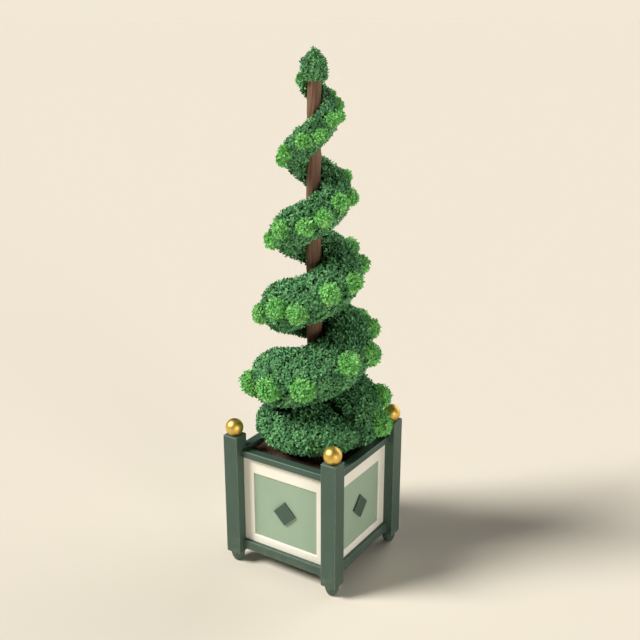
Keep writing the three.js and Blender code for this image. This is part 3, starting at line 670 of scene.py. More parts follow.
def diamonds():
    """Raised diamonds: a four-cornered ring drawn in over a quarter round at the front and carried back to
    the panel."""
    low, high = box("diamond_front")
    reach = (high[0] - low[0]) / 2
    centre = (high + low) / 2
    turn = np.linspace(0, math.pi / 2, 6)
    rounding = 0.0018
    inset = np.concatenate([rounding * (1 - np.sin(turn)) * math.sqrt(2), [0.0]])
    y = np.concatenate([low[1] + rounding * (1 - np.cos(turn)), [high[1] + PANEL_SINK]])
    angle = np.arange(4) * math.pi / 2
    radius = (reach - inset)[:, None]
    x, z = centre[0] + radius * np.cos(angle), centre[2] + radius * np.sin(angle)
    points, faces = carried(np.stack([x, y[:, None] + 0 * angle, z], -1))
    marks = {"grain": points, "arris": np.repeat(np.append(np.sin(turn * 2), 0.0), 4)}
    on_each_side(points, faces, marks, 6.3, "raised_diamond", green_paint, "green_paint", "diamond", None)


def earth_level(x, y):
    """The soil's height: its packed level and two sizes of ripple, with a shallow dish round the trunk."""
    wave = 0.0022 * ripple(x / 0.11, y / 0.11, 21) + 0.0012 * ripple(x / 0.018, y / 0.018, 22)
    return SOIL_Z - 0.0015 + wave - 0.0015 * np.exp(-((np.hypot(x, y) - 0.06) / 0.03) ** 2)


def earth():
    """The soil: its height over a square grid, closed by walls and a flat bottom."""
    steps = 110
    line = np.linspace(-EARTH_HALF, EARTH_HALF, steps)
    x, y = np.meshgrid(line, line)
    top = np.stack([x, y, earth_level(x, y)], -1).reshape(-1, 3)
    grid = np.arange(steps * steps).reshape(steps, steps)
    rim = np.concatenate([grid[0], grid[1:, -1], grid[-1, -2::-1], grid[-2:0:-1, 0]])
    under = steps * steps + np.arange(len(rim))
    bottom = top[rim] * [1, 1, 0] + [0, 0, soil_low[2]]
    walls = np.stack([rim, under, np.roll(under, -1), np.roll(rim, -1)], -1)
    faces = [grid_faces(steps, steps, wrap_columns=False), walls, under[::-1][None, :]]
    Skin().add(np.concatenate([top, bottom]), faces).piece(
        "earth", potting_soil, "soil", ["soil"], ALL_SMOOTH)


def crumbs():
    """Crumbs on the soil, each at a chance place: a ring of four points between a low peak and a root."""
    rng = np.random.default_rng(31)
    count = 2600
    half = EARTH_HALF - 0.006
    where = rng.uniform(-half, half, (count, 2))
    size = rng.uniform(0.0010, 0.0034, count) * rng.uniform(0.6, 1.0, count)
    angle = np.arange(4) * math.pi / 2 + rng.uniform(0, TAU, (count, 1))
    reach = size[:, None] * rng.uniform(0.7, 1.3, (count, 4))
    height = earth_level(where[:, 0], where[:, 1])
    place = np.stack([where[:, 0], where[:, 1], height], -1)[:, None]
    rise = size[:, None, None] * [0, 0, 1.0]
    ring = place + polar(reach, angle, 0.0) + 0.15 * rise
    points = np.concatenate([ring, place + 0.9 * rise, place - 0.6 * rise], 1)
    here = np.arange(4)
    after = (here + 1) % 4
    over = np.stack([here, after, 4 + 0 * here], -1)
    under = np.stack([after, here, 5 + 0 * here], -1)
    faces = np.concatenate([over, under])[None] + 6 * np.arange(count)[:, None, None]
    Skin().add(points.reshape(-1, 3), [faces.reshape(-1, 3)]).piece("soil_crumbs", potting_soil, "soil")


# ---------------------------------------------------------------- trunk and limbs

def trunk_radius(z):
    """The trunk's half width: it tapers by a power of the climb from the soil to its top."""
    climb = np.clip((z - SOIL_Z) / (TRUNK_TOP - SOIL_Z), 0, 1)
    return TRUNK["foot"] + (TRUNK["top"] - TRUNK["foot"]) * climb ** TRUNK["taper"]


def trunk():
    """The trunk: radius = taper + flare of five buttresses + bark, over angle and height. The bark is rows of
    plates between wandering upright furrows, with a few knots that stand out as round swellings."""
    rows, columns = 380, 84
    sunk, mean_radius, knot_size = 0.003, 0.024, 0.011
    share = np.linspace(0, 1, rows) ** 1.15
    z = SOIL_Z - sunk + share * (TRUNK_TOP - SOIL_Z + sunk)
    z, angle = np.meshgrid(z, angles_round(columns), indexing="ij")
    above = np.maximum(z - SOIL_Z, 0)
    flare = TRUNK["flare"] * np.exp(-above / TRUNK["flare_height"]) * (1 + 0.35 * np.cos(5 * angle))
    wander = (1.1 * np.sin(9 * z + 1.3) + 0.6 * np.sin(31 * z + 2 * np.sin(angle))
              + 0.5 * np.sin(2 * angle + 5 * z))
    furrow = np.abs(np.sin(4.5 * angle + wander)) ** 0.55
    breaks = np.abs(np.sin(26 * z + 1.6 * np.sin(3 * angle) + 0.9 * np.sin(11 * z))) ** 0.3
    fine = ripple(angle * 2.6, z * 26, 41)
    relief = np.clip(0.72 * furrow * breaks + 0.28 * furrow + 0.12 * fine, 0, 1.1)
    radius = trunk_radius(z) + flare + 0.0022 * (relief - 0.75) + 0.0010 * ripple(angle * 0.5, z * 5, 42)
    for knot_z, knot_angle, swell in KNOTS:
        away = np.angle(np.exp(1j * (angle - knot_angle))) * mean_radius
        radius = radius + swell * np.exp(-(away ** 2 + (z - knot_z) ** 2) / knot_size ** 2)
    lean = 0.0016 * np.sin(6 * above)[..., None] * [1, 0, 0]
    points, faces = carried(polar(radius, angle, z) + lean)
    grain = polar(mean_radius, angle, z)[..., [2, 0, 1]].reshape(-1, 3)
    Skin().add(points, faces, grain=grain, relief=relief.ravel()).piece(
        "ridged_trunk", bark, "bark", ["trunk"], ALL_SMOOTH)


def climbing(what, left, power=1.0):
    """One of the roll's measures: it goes from its foot to its top by a power of the climb that is left."""
    foot, top = ROLL[f"foot_{what}"], ROLL[f"top_{what}"]
    return top + (foot - top) * left ** power


def roll_middle(angle):
    """The roll's middle, reach and radius at each angle of its climb, in degrees."""
    left = 1 - np.minimum((angle - ROLL["foot_angle"]) / (360 * ROLL["turns"]), 1)
    reach = climbing("reach", left, ROLL["reach_power"])
    radius = climbing("radius", left, ROLL["radius_power"])
    return polar(reach, np.radians(angle), climbing("z", left)), reach, radius


def roll(angle):
    """The roll of foliage at each angle of its climb, in degrees: its middle, reach and radius, its
    directions along, outward and upward, and its bulk, the radius as an arc closes it over its start and
    narrows it over its end."""
    angle = np.asarray(angle, float)
    centre, reach, radius = roll_middle(angle)
    inside = np.minimum(angle, END_ANGLE - 0.5)
    along = unit(roll_middle(inside + 0.5)[0] - roll_middle(inside - 0.5)[0])
    outward = polar(1.0, np.radians(angle), 0.0)
    upward = unit(np.cross(outward, along))
    before = np.radians(np.maximum(ROLL["start_angle"] - angle, 0)) * reach
    # The end narrows over its last half radius, to about a third of it.
    after = np.maximum(0.7 * radius - np.radians(END_ANGLE - angle) * reach * 1.3, 0)
    bulk = radius * np.sqrt(np.clip(1 - (before / radius) ** 2 - (after / radius / 0.75) ** 2, 0, 1))
    return {"centre": centre, "along": along, "outward": outward, "upward": upward,
            "radius": radius, "bulk": bulk, "reach": reach}


# The angle at which the roll's closed start ends: a radius back from start_angle, less a hair.
roll_start = roll(ROLL["start_angle"])
NOSE_ANGLE = ROLL["start_angle"] - math.degrees(float(roll_start["radius"] / roll_start["reach"])) * 0.99


def roll_point(at, turn, inset):
    """A point of the roll's oval section: turn 0 is outward, a quarter turn is up, and inset is taken off."""
    least = 0.0015
    width = np.maximum(at["bulk"] - inset, least)[..., None]
    height = np.maximum(at["bulk"] * ROLL["plump"] - inset, least)[..., None]
    return at["centre"] + between(at["outward"] * width, at["upward"] * height, turn)


# Tufts stand a steady step apart along the climb, which two waves sway, and by two more a little over or
# under the roll's outermost line. Each is a ball round its knot, and its size follows the roll's.
tuft_index = np.arange(TUFTS)
TUFT_ANGLE = (15.2 + 35.26 * tuft_index + 6.2 * np.sin(1.081 * tuft_index + 3.35)
              + 4.4 * np.sin(3.005 * tuft_index + 0.485))
TUFT_TURN = math.radians(12) * (np.sin(2.418 * tuft_index + 5) + np.sin(0.608 * tuft_index + 1.31))
tuft_frame = roll(TUFT_ANGLE)
TUFT_SIZE = 0.010 + 0.37 * tuft_frame["radius"]
TUFT_KNOT = roll_point(tuft_frame, TUFT_TURN, TUFT_SIZE * TUFT_SINK)
TUFT_NORMAL = between(tuft_frame["outward"], tuft_frame["upward"], TUFT_TURN)


def limbs(start, end, thick, thin, sides, bow=0.0, rows=2):
    """Many tapering limbs at once: a ring of sides points carried from each start to its end. Limbs bow up
    by bow times their length, as a half sine over the way. Each closes in a point just past its end."""
    start, end = np.asarray(start, float), np.asarray(end, float)
    count = len(start)
    thick = np.broadcast_to(thick, count)[:, None, None]
    thin = np.broadcast_to(thin, count)[:, None, None]
    along = unit(end - start)
    length = np.linalg.norm(end - start, axis=1)[:, None, None]
    helper = np.where(np.abs(along[:, 2:]) < 0.9, [[0.0, 0.0, 1.0]], [[1.0, 0.0, 0.0]])
    side = unit(np.cross(helper, along))
    other = np.cross(along, side)
    share = np.linspace(0, 1, rows)[None, :, None]
    path = start[:, None] + (end - start)[:, None] * share
    path = path + np.array([0, 0, 1.0]) * np.sin(share * math.pi) * length * bow
    radius = thick + (thin - thick) * share
    ring = between(side[:, None, None], other[:, None, None], angles_round(sides))
    points = path[:, :, None] + ring * radius[..., None]
    tips = end + along * thin[:, 0]
    per = rows * sides + 1
    points = np.concatenate([points.reshape(count, -1, 3), tips[:, None]], 1)
    first = np.arange(count)[:, None, None] * per
    walls = (grid_faces(rows, sides)[None] + first).reshape(-1, 4)
    around = np.arange(sides)
    last = (rows - 1) * sides
    tip = np.stack([last + around, last + (around + 1) % sides, np.full(sides, per - 1)], -1)
    foot = np.arange(sides)[::-1][None]
    ends = [(tip[None] + first).reshape(-1, 3), (foot[None] + first).reshape(-1, sides)]
    return points.reshape(-1, 3), [walls] + ends


def stems():
    """Boughs: one stem from the trunk into each stretch of the roll, a few low ones into the skirt, and one
    bough that winds up the roll's middle from stem to stem."""
    at = roll(np.linspace(ROLL["start_angle"], END_ANGLE - 6, 38))
    foot_z = at["centre"][:, 2] - 0.1 * at["radius"]
    foot = foot_z[:, None] * [0, 0, 1] + at["outward"] * trunk_radius(foot_z)[:, None] * 0.7
    thick, thin = 0.0022 + 0.075 * at["radius"], 0.0015 + 0.045 * at["radius"]
    high = limbs(foot, at["centre"], thick, thin, sides=8, bow=0.04, rows=6)

    angle = np.radians(np.arange(110, 350, 40))
    low_foot, low_end = polar(0.02, angle, SOIL_Z + 0.035), polar(0.13, angle, SKIRT["centre_z"])
    low = limbs(low_foot, low_end, thick=0.008, thin=0.004, sides=8, bow=0.05, rows=6)

    path = roll(np.linspace(ROLL["start_angle"] - 8, END_ANGLE - 4, 300))
    ring = between(path["outward"][:, None], path["upward"][:, None], angles_round(8))
    winding = carried(path["centre"][:, None] + ring * (0.0015 + 0.05 * path["radius"])[:, None, None])

    skin = Skin()
    for points, faces in (high, low, winding):
        skin.add(points, faces, grain=points[:, [2, 0, 1]], relief=np.full(len(points), 0.7))
    skin.piece("boughs", bark, "bark", FOLIAGE, ALL_SMOOTH)


# ---------------------------------------------------------------- where sprays of leaves grow

def even_pairs(count, seed):
    """Evenly scattered pairs from 0 to 1: steps by the plastic ratio's two powers, from a chance start."""
    step = np.array([1 / PLASTIC_RATIO, 1 / PLASTIC_RATIO ** 2])
    return (np.random.default_rng(seed).uniform(size=2) + np.arange(1, count + 1)[:, None] * step) % 1


def spread(density, places, share):
    """Places along a line whose density varies: the share's inverse of the running total."""
    total = np.concatenate([[0], np.cumsum((density[1:] + density[:-1]) / 2 * np.diff(places))])
    return np.interp(share, total / total[-1], places)


def normals_of(surface, u, v, step_u, step_v):
    """A surface's outward directions, from its points a small step away in each parameter."""
    across = surface(u + step_u, v) - surface(u - step_u, v)
    upward = surface(u, v + step_v) - surface(u, v - step_v)
    return unit(np.cross(across, upward))


def sites_at(skin, normal, room, scale, fold=False):
    """Places for sprays: their point on the skin, its outward direction, the room behind it, the scale of
    the leaves there and whether it lies in the fold between roll and skirt."""
    sites = {"skin": skin, "normal": normal}
    for name, values in (("room", room), ("scale", scale), ("fold", fold)):
        sites[name] = np.broadcast_to(values, len(skin))
    return sites


def leaf_scale(radius):
    """Leaves are a little smaller on the thin upper part of the roll and on small tufts."""
    return np.interp(radius, *LEAF_SCALE)


def roll_sites(count):
    """Evenly spread places on the roll's skin, closer where the leaves are smaller. Along the climb they
    follow the section's girth. Round the section they solve turn + k sin(turn) = share of the circle,
    since the outer side is the longer one."""
    pairs = even_pairs(count, 51)
    fine = np.linspace(NOSE_ANGLE + 0.3, END_ANGLE - 0.3, 3000)
    at = roll(fine)
    step = np.gradient(at["centre"], fine, axis=0)
    slope = np.gradient(at["bulk"], fine)
    girth = at["bulk"] * np.sqrt((step ** 2).sum(-1) + slope ** 2)
    angle = spread(girth / leaf_scale(at["radius"]) ** 2, fine, pairs[:, 0])
    at = roll(angle)
    lean = np.clip(at["bulk"] / at["reach"], 0, 0.95)
    turn = pairs[:, 1] * TAU
    newton_steps = 12
    for _ in range(newton_steps):
        turn = turn - (turn + lean * np.sin(turn) - pairs[:, 1] * TAU) / (1 + lean * np.cos(turn))

    def surface(angle, turn):
        return roll_point(roll(angle), turn, 0.0)

    normal = normals_of(surface, angle, turn, step_u=0.4, step_v=0.02)
    skin = surface(angle, turn)
    normal = normal * np.sign((normal * (skin - at["centre"])).sum(-1))[:, None]
    sites = sites_at(skin, normal, at["bulk"], leaf_scale(at["radius"]), in_skirt(skin, FOLD_WIDTH))
    return {**sites, "centre": at["centre"]}


def signed_power(value, power):
    """The power of a value's size, with the value's own sign."""
    return np.sign(value) * np.abs(value) ** power


def skirt_point(angle, rise, inset=0.0, closest=0.02):
    """A point of the skirt: powers of the rise's cosine and sine give its reach and height, and inset is
    taken off. It comes no nearer to the trunk's middle than closest."""
    across = (SKIRT["radius"] - inset) * signed_power(np.cos(rise), SKIRT["squareness"])
    upward = (SKIRT["half_height"] - inset) * signed_power(np.sin(rise), SKIRT["squareness"])
    return polar(np.maximum(across, closest), angle, SKIRT["centre_z"] + upward)


def skirt_sites(count):
    """Evenly spread places on the skirt round the trunk's foot."""
    pairs = even_pairs(count, 61)
    lowest, highest = -1.45, 1.52
    fine = np.linspace(lowest, highest, 400)
    line = skirt_point(0.0, fine)
    girth = line[:, 0] * np.linalg.norm(np.gradient(line, fine, axis=0), axis=1)
    rise = spread(girth, fine, pairs[:, 1])
    angle = np.radians(SKIRT["from"] + (SKIRT["to"] - SKIRT["from"]) * pairs[:, 0])
    skin = skirt_point(angle, rise)
    normal = normals_of(skirt_point, angle, rise, step_u=0.01, step_v=0.01)
    return sites_at(skin, normal, SKIRT["half_height"], 1.0, in_roll(skin, FOLD_WIDTH))


def tip_sites(count):
    """Evenly spread places on the tip, a profile turned about the trunk, its flat underside with it."""
    pairs = even_pairs(count, 71)
    length = np.concatenate([[0], np.cumsum(np.linalg.norm(np.diff(TIP, axis=0), axis=1))])
    fine = np.linspace(0, length[-1], 300)

    def surface(angle, way):
        return polar(np.interp(way, length, TIP[:, 0]), angle, np.interp(way, length, TIP[:, 1]))

    least = 0.004
    way = spread(np.interp(fine, length, TIP[:, 0]) + least, fine, pairs[:, 1])
    angle = pairs[:, 0] * TAU
    skin = surface(angle, way)
    normal = normals_of(surface, angle, way, step_u=0.01, step_v=0.001)
    return sites_at(skin, normal, 0.05, LEAF_SCALE[1][0])


def tuft_sites(spacing):
    """Evenly spread places on every tuft, a ball round its knot: equal steps in height, from its outermost
    point to a little past its widest ring, and in turn by the golden angle."""
    deepest, cap_area = 1.25, 2.6 * math.pi
    scale = leaf_scale(2 * TUFT_SIZE)
    count = np.ceil(cap_area * (TUFT_SIZE / scale / spacing) ** 2).astype(int)
    owner = np.repeat(tuft_index, count)
    number = np.arange(len(owner)) - np.repeat(np.cumsum(count) - count, count)
    height = 1 - deepest * (number + 0.5) / np.repeat(count, count)
    ring = np.sqrt(1 - height ** 2)
    turn = number * GOLDEN_ANGLE + owner
    axis = TUFT_NORMAL[owner]
    side = tuft_frame["along"][owner]
    other = np.cross(axis, side)
    normal = axis * height[:, None] + between(side, other, turn) * ring[:, None]
    bulge = 0.90 + 0.09 * ripple(2.1 * normal[:, 0] + owner, 2.1 * normal[:, 1] + 1.7 * normal[:, 2], 56)
    skin = TUFT_KNOT[owner] + normal * (bulge * TUFT_SIZE[owner])[:, None]
    return sites_at(skin, normal, TUFT_SIZE[owner], scale[owner])


def in_roll(points, margin):
    """True for the points that lie inside the roll, or nearer to it than margin: those inside the oval of
    any of its stations, a few degrees apart."""
    step, half_station = 5.0, 0.012
    stations = roll(np.arange(NOSE_ANGLE, END_ANGLE, step))
    away = points[:, None] - stations["centre"][None]
    flat = (away * stations["outward"]).sum(-1) / (stations["bulk"] + margin)
    tall = (away * stations["upward"]).sum(-1) / (stations["bulk"] * ROLL["plump"] + margin)
    near = np.abs((away * stations["along"]).sum(-1)) < half_station
    return (near & (flat ** 2 + tall ** 2 < 1)).any(1)


def in_skirt(points, margin):
    """True for the points that lie inside the skirt, or nearer to it than margin."""
    past = (np.degrees(np.arctan2(points[:, 1], points[:, 0])) - SKIRT["from"]) % 360
    flat = np.hypot(points[:, 0], points[:, 1]) / (SKIRT["radius"] + margin)
    tall = np.abs(points[:, 2] - SKIRT["centre_z"]) / (SKIRT["half_height"] + margin)
    power = 2 / SKIRT["squareness"]
    return (past < SKIRT["to"] - SKIRT["from"]) & (flat ** power + tall ** power < 1)


def in_tuft(points, share):
    """True for the points that lie within share of a tuft's radius of its knot."""
    away = np.linalg.norm(points[:, None] - TUFT_KNOT[None], axis=-1)
    return (away < share * TUFT_SIZE).any(1)


def clear(points):
    """True for the points that are 4 mm clear of the trunk and 6 mm clear of the soil."""
    off_trunk = np.hypot(points[:, 0], points[:, 1]) > trunk_radius(points[:, 2]) + 0.004
    return off_trunk & (points[:, 2] > SOIL_Z + 0.006)


def chosen(sites, keep):
    """The sites where keep is true."""
    return {name: values[keep] for name, values in sites.items()}


# ---------------------------------------------------------------- sprays and leaves

def shoots(sites, length, lift, stray, seed):
    """A shoot to each site: it ends near the skin, or a little further in where the roll is broad or where
    roll and skirt fold together, and is shorter than the room behind it. Its direction is the skin's outward
    one + lift upwards, less under the plant + a chance part, which is held to 1.6 strays."""
    rng = np.random.default_rng(seed)
    count = len(sites["skin"])
    chance = rng.normal(0, stray, (count, 3))
    chance = chance * np.minimum(1, 1.6 * stray / np.linalg.norm(chance, axis=1, keepdims=True))
    upward = np.array([0, 0, 1.0]) * lift * (0.55 + 0.45 * sites["normal"][:, 2:])
    heading = unit(sites["normal"] + upward + chance)
    end = rng.uniform(-0.0045, 0.0015, count) - np.interp(sites["room"], *CLIPPED) - FOLD_SINK * sites["fold"]
    tip = sites["skin"] + sites["normal"] * end[:, None]
    reach = np.minimum(length * rng.uniform(0.8, 1.15, count), 0.8 * sites["room"])[:, None]
    return {"foot": tip - heading * reach, "tip": tip - heading * 0.006, "heading": heading}


# The pairs of leaves from a shoot's tip downwards: their place along it, how far they splay out and their
# length as a share of a leaf's.
PAIR_PLACE = np.array([1.0, 0.84, 0.66, 0.48, 0.30])
PAIR_SPLAY = np.radians([44, 62, 70, 76, 80])
PAIR_LENGTH = np.array([0.82, 1.0, 1.04, 1.0, 0.95])
# How far a leaf strays by chance, round its shoot, in splay and in facing.
TURN_STRAY, SPLAY_STRAY, FACING_STRAY = 0.28, 0.20, 0.16


def leaves_on(shoot, size, seed):
    """Leaves in crossed pairs up each shoot: the pair at the tip stands nearly upright and the lower ones
    splay out further, each pair a quarter turn from the last. Returns roots, directions, facings, lengths."""
    rng = np.random.default_rng(seed)
    count = len(shoot["foot"])
    pairs = len(PAIR_PLACE)
    heading = shoot["heading"][:, None, None]
    side = unit(np.cross(shoot["heading"], rng.normal(size=(count, 3))))[:, None, None]
    other = np.cross(heading, side)
    turn = (np.arange(pairs) * math.pi / 2)[None, :, None] + np.array([0, math.pi])[None, None, :]
    turn = turn + rng.normal(0, TURN_STRAY, (count, pairs, 2))
    splay = PAIR_SPLAY[None, :, None] + rng.normal(0, SPLAY_STRAY, (count, pairs, 2))
    radial = between(side, other, turn)
    direction = between(heading, radial, splay)
    facing = heading * np.sin(splay)[..., None] - radial * np.cos(splay)[..., None]
    facing = unit(facing + rng.normal(0, FACING_STRAY, facing.shape))
    way = (shoot["tip"] - shoot["foot"])[:, None, None] * PAIR_PLACE[None, :, None, None]
    root = shoot["foot"][:, None, None] + way + 0 * direction
    length = size[:, None, None] * rng.uniform(0.78, 1.16, (count, pairs, 2))
    length = length * PAIR_LENGTH[None, :, None]
    per = pairs * 2
    return (root.reshape(count, per, 3), direction.reshape(count, per, 3),
            facing.reshape(count, per, 3), length.reshape(count, per))


# A leaf's points: along and up in shares of its length, and across in shares of its width. Six lie round
# its outline, then the middle's upper and under side. The blade folds up from its midrib and bends down.
BLADE = np.array([
    [0.00, 0.00, 0.00], [0.27, 0.42, 0.10], [0.68, 0.44, 0.07], [1.00, 0.00, -0.10],
    [0.68, -0.44, 0.07], [0.27, -0.42, 0.10], [0.48, 0.00, -0.01], [0.48, 0.00, -0.01]])
UPPER, UNDER = 6, 7
BLADE_FACES = np.array(
    [[UPPER, i, (i + 1) % 6] for i in range(6)] + [[UNDER, (i + 1) % 6, i] for i in range(6)])


def blades(root, direction, facing, length):
    """All the leaf blades as one array of points and one of faces: each is two fans of six triangles, over
    and under an outline of six points, a leaf's thickness apart in the middle."""
    across = unit(np.cross(facing, direction))
    upward = np.cross(direction, across)
    shape = BLADE * np.array([1.0, LEAF_WIDTH, 1.0])
    shape[UNDER, 2] -= LEAF_THICKNESS
    axes = np.stack([direction, across, upward], 1)
    points = root[:, None] + np.einsum("pk,nkx->npx", shape, axes) * length[:, None, None]
    faces = BLADE_FACES[None, :, ::-1] + len(BLADE) * np.arange(len(root))[:, None, None]
    return points.reshape(-1, 3), faces.reshape(-1, 3)


def leaf_pieces(tone, grown):
    """Joins a tone's leaves into as few even pieces as the limit on triangles lets."""
    root, direction, facing, length = grown
    most = TRIANGLES_PER_PIECE // len(BLADE_FACES)
    parts = math.ceil(len(root) / most)
    for part in range(parts):
        pick = slice(part * len(root) // parts, (part + 1) * len(root) // parts)
        points, faces = blades(root[pick], direction[pick], facing[pick], length[pick])
        Skin().add(points, [faces]).piece(f"leaves_{tone}_{part + 1}", leaf_greens[tone], "foliage", FOLIAGE)


def dealt(sites, shares, patch, seed):
    """Deals each spray its tone: patches of ripple, stirred by chance, are ranked and cut by the shares."""
    rng = np.random.default_rng(seed)
    x, y, z = (sites["skin"] / patch).T
    score = ripple(x + 0.6 * z, y - 0.8 * z, seed) + rng.normal(0, 0.9, len(x))
    rank = np.argsort(np.argsort(score)) / len(score)
    return np.searchsorted(np.cumsum(shares)[:-1], rank)


def spray_sites():
    """Where sprays grow, by kind of growth, clear of each other, the trunk and the soil."""
    roll_part = roll_sites(ROLL_SPRAYS)
    skin = roll_part["skin"]
    skin[:, 1] = np.minimum(skin[:, 1], ROLL_BACK)
    skirt_part = skirt_sites(SKIRT_SPRAYS)
    tip_part = tip_sites(TIP_SPRAYS)
    tufts = tuft_sites(TUFT_SPACING)
    return {
        "roll": chosen(roll_part, clear(skin) & ~in_tuft(skin, share=0.72) & ~in_skirt(skin, CLEARANCE)),
        "skirt": chosen(skirt_part, clear(skirt_part["skin"]) & ~in_roll(skirt_part["skin"], CLEARANCE)),
        "tip": chosen(tip_part, np.hypot(*tip_part["skin"][:, :2].T) > 0.002),
        "tufts": chosen(tufts, clear(tufts["skin"])),
    }


def foliage():
    """Grows every spray of the roll, skirt, tip and tufts, deals out the tones and makes the pieces. Sprays
    in the fold between roll and skirt are all of the first, darkest tone: painted shade in the crease."""
    by_tone = {tone: [] for tone in TONES}
    all_shoots = []
    for kind, sites in spray_sites().items():
        growth = GROWTH[kind]
        seed = growth["seed"]
        shoot = shoots(sites, growth["length"], growth["lift"], growth["stray"], seed)
        grown = leaves_on(shoot, LEAF_LENGTH * sites["scale"], seed + 1)
        number = dealt(sites, growth["shares"], growth["patch"], seed + 2) + TONES.index(growth["first"])
        # Painted shade: sprays in the fold take the darkest tone.
        number = np.where(sites["fold"], 0, number)
        for i, tone in enumerate(TONES):
            mine = [values[number == i] for values in grown]
            by_tone[tone].append([values.reshape((-1,) + values.shape[2:]) for values in mine])
        all_shoots.append(shoot)
    for tone, parts in by_tone.items():
        leaf_pieces(tone, [np.concatenate(values) for values in zip(*parts)])

    foot = np.concatenate([shoot["foot"] for shoot in all_shoots])
    tip = np.concatenate([shoot["tip"] for shoot in all_shoots])
    inner = roll_sites(INNER_TWIGS)
    inner_tip = inner["skin"] - inner["normal"] * 0.022
    wood = Skin()
    wood.add(*limbs(foot, tip, thick=0.0010, thin=0.0006, sides=3))
    wood.add(*limbs(inner["centre"], inner_tip, thick=0.0030, thin=0.0013, sides=4, bow=0.05, rows=4))
    wood.piece("twigs_and_shoots", young_twigs, "bark", FOLIAGE)


def inner_mass():
    """The closed-up inside of the roll, skirt, tip and tufts, a finger under the leaves: the same sections
    drawn in, with a lumpy ripple over angle and turn. Its very dark finish is painted shade behind the gaps
    between leaves."""
    skin = Skin()
    angle = np.linspace(NOSE_ANGLE + 1.5, END_ANGLE - 1.0, 620)
    angle, turn = np.meshgrid(angle, angles_round(36), indexing="ij")
    at = roll(angle)
    depth = 0.015 + 0.05 * at["radius"] + 0.0035 * ripple(angle / 9, turn, 121)
    skin.add(*carried(roll_point(at, turn, depth)))

    angle = np.radians(np.linspace(SKIRT["from"] + 4, SKIRT["to"] - 4, 90))
    angle, rise = np.meshgrid(angle, np.linspace(-1.3, 1.4, 26), indexing="ij")
    depth = 0.020 + 0.004 * ripple(angle * 3, rise * 2, 122)
    rings = skirt_point(angle, rise, depth, closest=0.03)
    rings[..., 2] = np.maximum(rings[..., 2], SOIL_Z + 0.02)
    skin.add(*carried(rings))

    way = np.linspace(0, 1, 14)
    bends = [0, 0.1, 0.7, 1]
    reach = np.interp(way, bends, [0.024, 0.028, 0.024, 0.002])
    z = np.interp(way, bends, [1.664, 1.672, 1.705, 1.728])
    skin.add(*lathed(np.stack([reach, z], -1), np.zeros(3), 24))

    fall = np.linspace(0.15, math.pi - 0.15, 8)[:, None]
    ball = polar(np.sin(fall), angles_round(14), np.cos(fall))
    for knot, size in zip(TUFT_KNOT, TUFT_SIZE):
        skin.add(*carried((knot + ball * (0.52 * size))[::-1]))
    skin.piece("inner_mass", inner_shade, "foliage", FOLIAGE, ALL_SMOOTH)


# ---------------------------------------------------------------- studio

# The floor lies a hair under the feet, so that the two don't share a plane.
FLOOR_Z = -0.0004
FLOOR_COLOUR = (0.825, 0.763, 0.652)
# The sky gives a faint light of one colour and shows the camera another.
SKY_LIGHT = (1.0, 0.98, 0.95, 1)
SKY_STRENGTH = 0.01
SKY_SHOWN = (0.887, 0.807, 0.665, 1)
# The camera: its place, the degrees that it looks down and to the left, and its lens in millimetres.
CAMERA_PLACE = (1.5721, -2.4133, 1.8407)
CAMERA_DOWN = 18.4737
CAMERA_ROUND = 32.7023
CAMERA_LENS = 51.23


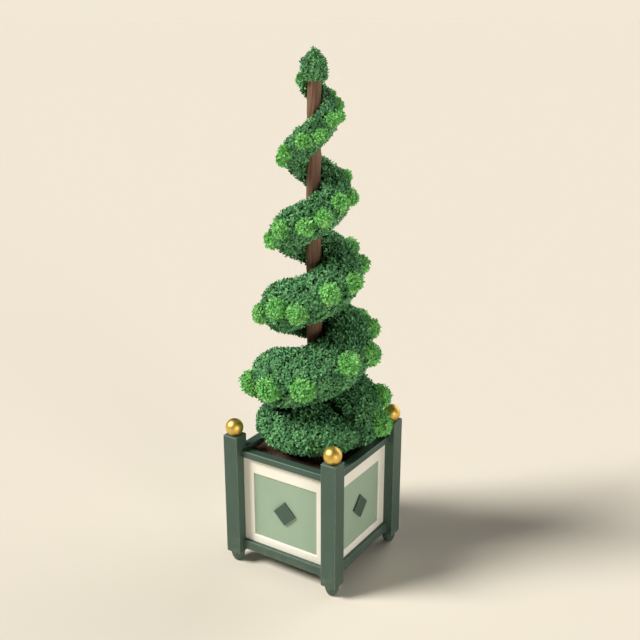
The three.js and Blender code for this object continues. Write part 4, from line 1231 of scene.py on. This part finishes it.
def studio():
    """A plain pale floor that runs out to a sky that looks alike, a soft key light from the left, a low
    fill from the right, a broad low light from behind, and the camera."""
    scene = bpy.context.scene
    scene.view_settings.view_transform = "Standard"
    floor_finish = Finish("studio_floor", Base_Color=FLOOR_COLOUR, Roughness=1.0, Specular_IOR_Level=0.0)
    radius = np.array([0.001, 1.0, 3.0, 9.0, 60.0, 600.0])[:, None]
    points, faces = carried(polar(radius, angles_round(96), FLOOR_Z), capped=False)
    mesh = bpy.data.meshes.new("studio_floor")
    mesh.from_pydata(points.tolist(), [], faces[0].tolist())
    mesh.materials.append(floor_finish.material)
    floor = bpy.data.objects.new("studio_floor", mesh)
    scene.collection.objects.link(floor)

    world = bpy.data.worlds.new("studio_sky")
    scene.world = world
    world.use_nodes = True
    nodes, links = world.node_tree.nodes, world.node_tree.links
    nodes.clear()
    sky = nodes.new("ShaderNodeBackground")
    sky.inputs["Color"].default_value = SKY_LIGHT
    sky.inputs["Strength"].default_value = SKY_STRENGTH
    seen = nodes.new("ShaderNodeBackground")
    seen.inputs["Color"].default_value = SKY_SHOWN
    path = nodes.new("ShaderNodeLightPath")
    join = nodes.new("ShaderNodeMixShader")
    out = nodes.new("ShaderNodeOutputWorld")
    links.new(path.outputs["Is Camera Ray"], join.inputs[0])
    links.new(sky.outputs[0], join.inputs[1])
    links.new(seen.outputs[0], join.inputs[2])
    links.new(join.outputs[0], out.inputs["Surface"])

    def sun(name, azimuth, elevation, strength, breadth, colour):
        """A far light, soft by its breadth in degrees. It stands at azimuth, from +X round to +Y."""
        data = bpy.data.lights.new(name, "SUN")
        data.energy = strength
        data.angle = math.radians(breadth)
        data.color = colour
        lamp = bpy.data.objects.new(name, data)
        scene.collection.objects.link(lamp)
        lamp.rotation_euler = (math.radians(90 - elevation), 0, math.radians(azimuth + 90))

    sun("key_light", azimuth=224, elevation=43.5, strength=3.88, breadth=22, colour=(1.0, 0.98, 0.94))
    sun("fill_light", azimuth=-22, elevation=5, strength=1.38, breadth=24, colour=(1.0, 0.98, 0.96))
    sun("back_light", azimuth=71, elevation=16, strength=1.73, breadth=70, colour=(1.0, 0.98, 0.96))

    camera_data = bpy.data.cameras.new("camera")
    camera_data.lens = CAMERA_LENS
    camera_data.sensor_width = 36
    camera = bpy.data.objects.new("camera", camera_data)
    camera.location = CAMERA_PLACE
    camera.rotation_euler = (math.radians(90 - CAMERA_DOWN), 0, math.radians(CAMERA_ROUND))
    scene.collection.objects.link(camera)
    scene.camera = camera


studio()
posts()
feet()
finials()
top_rails()
bottom_rails()
boards()
panels()
diamonds()
earth()
crumbs()
trunk()
stems()
inner_mass()
foliage()
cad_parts["planter_floor"].material_slots[0].material = green_paint
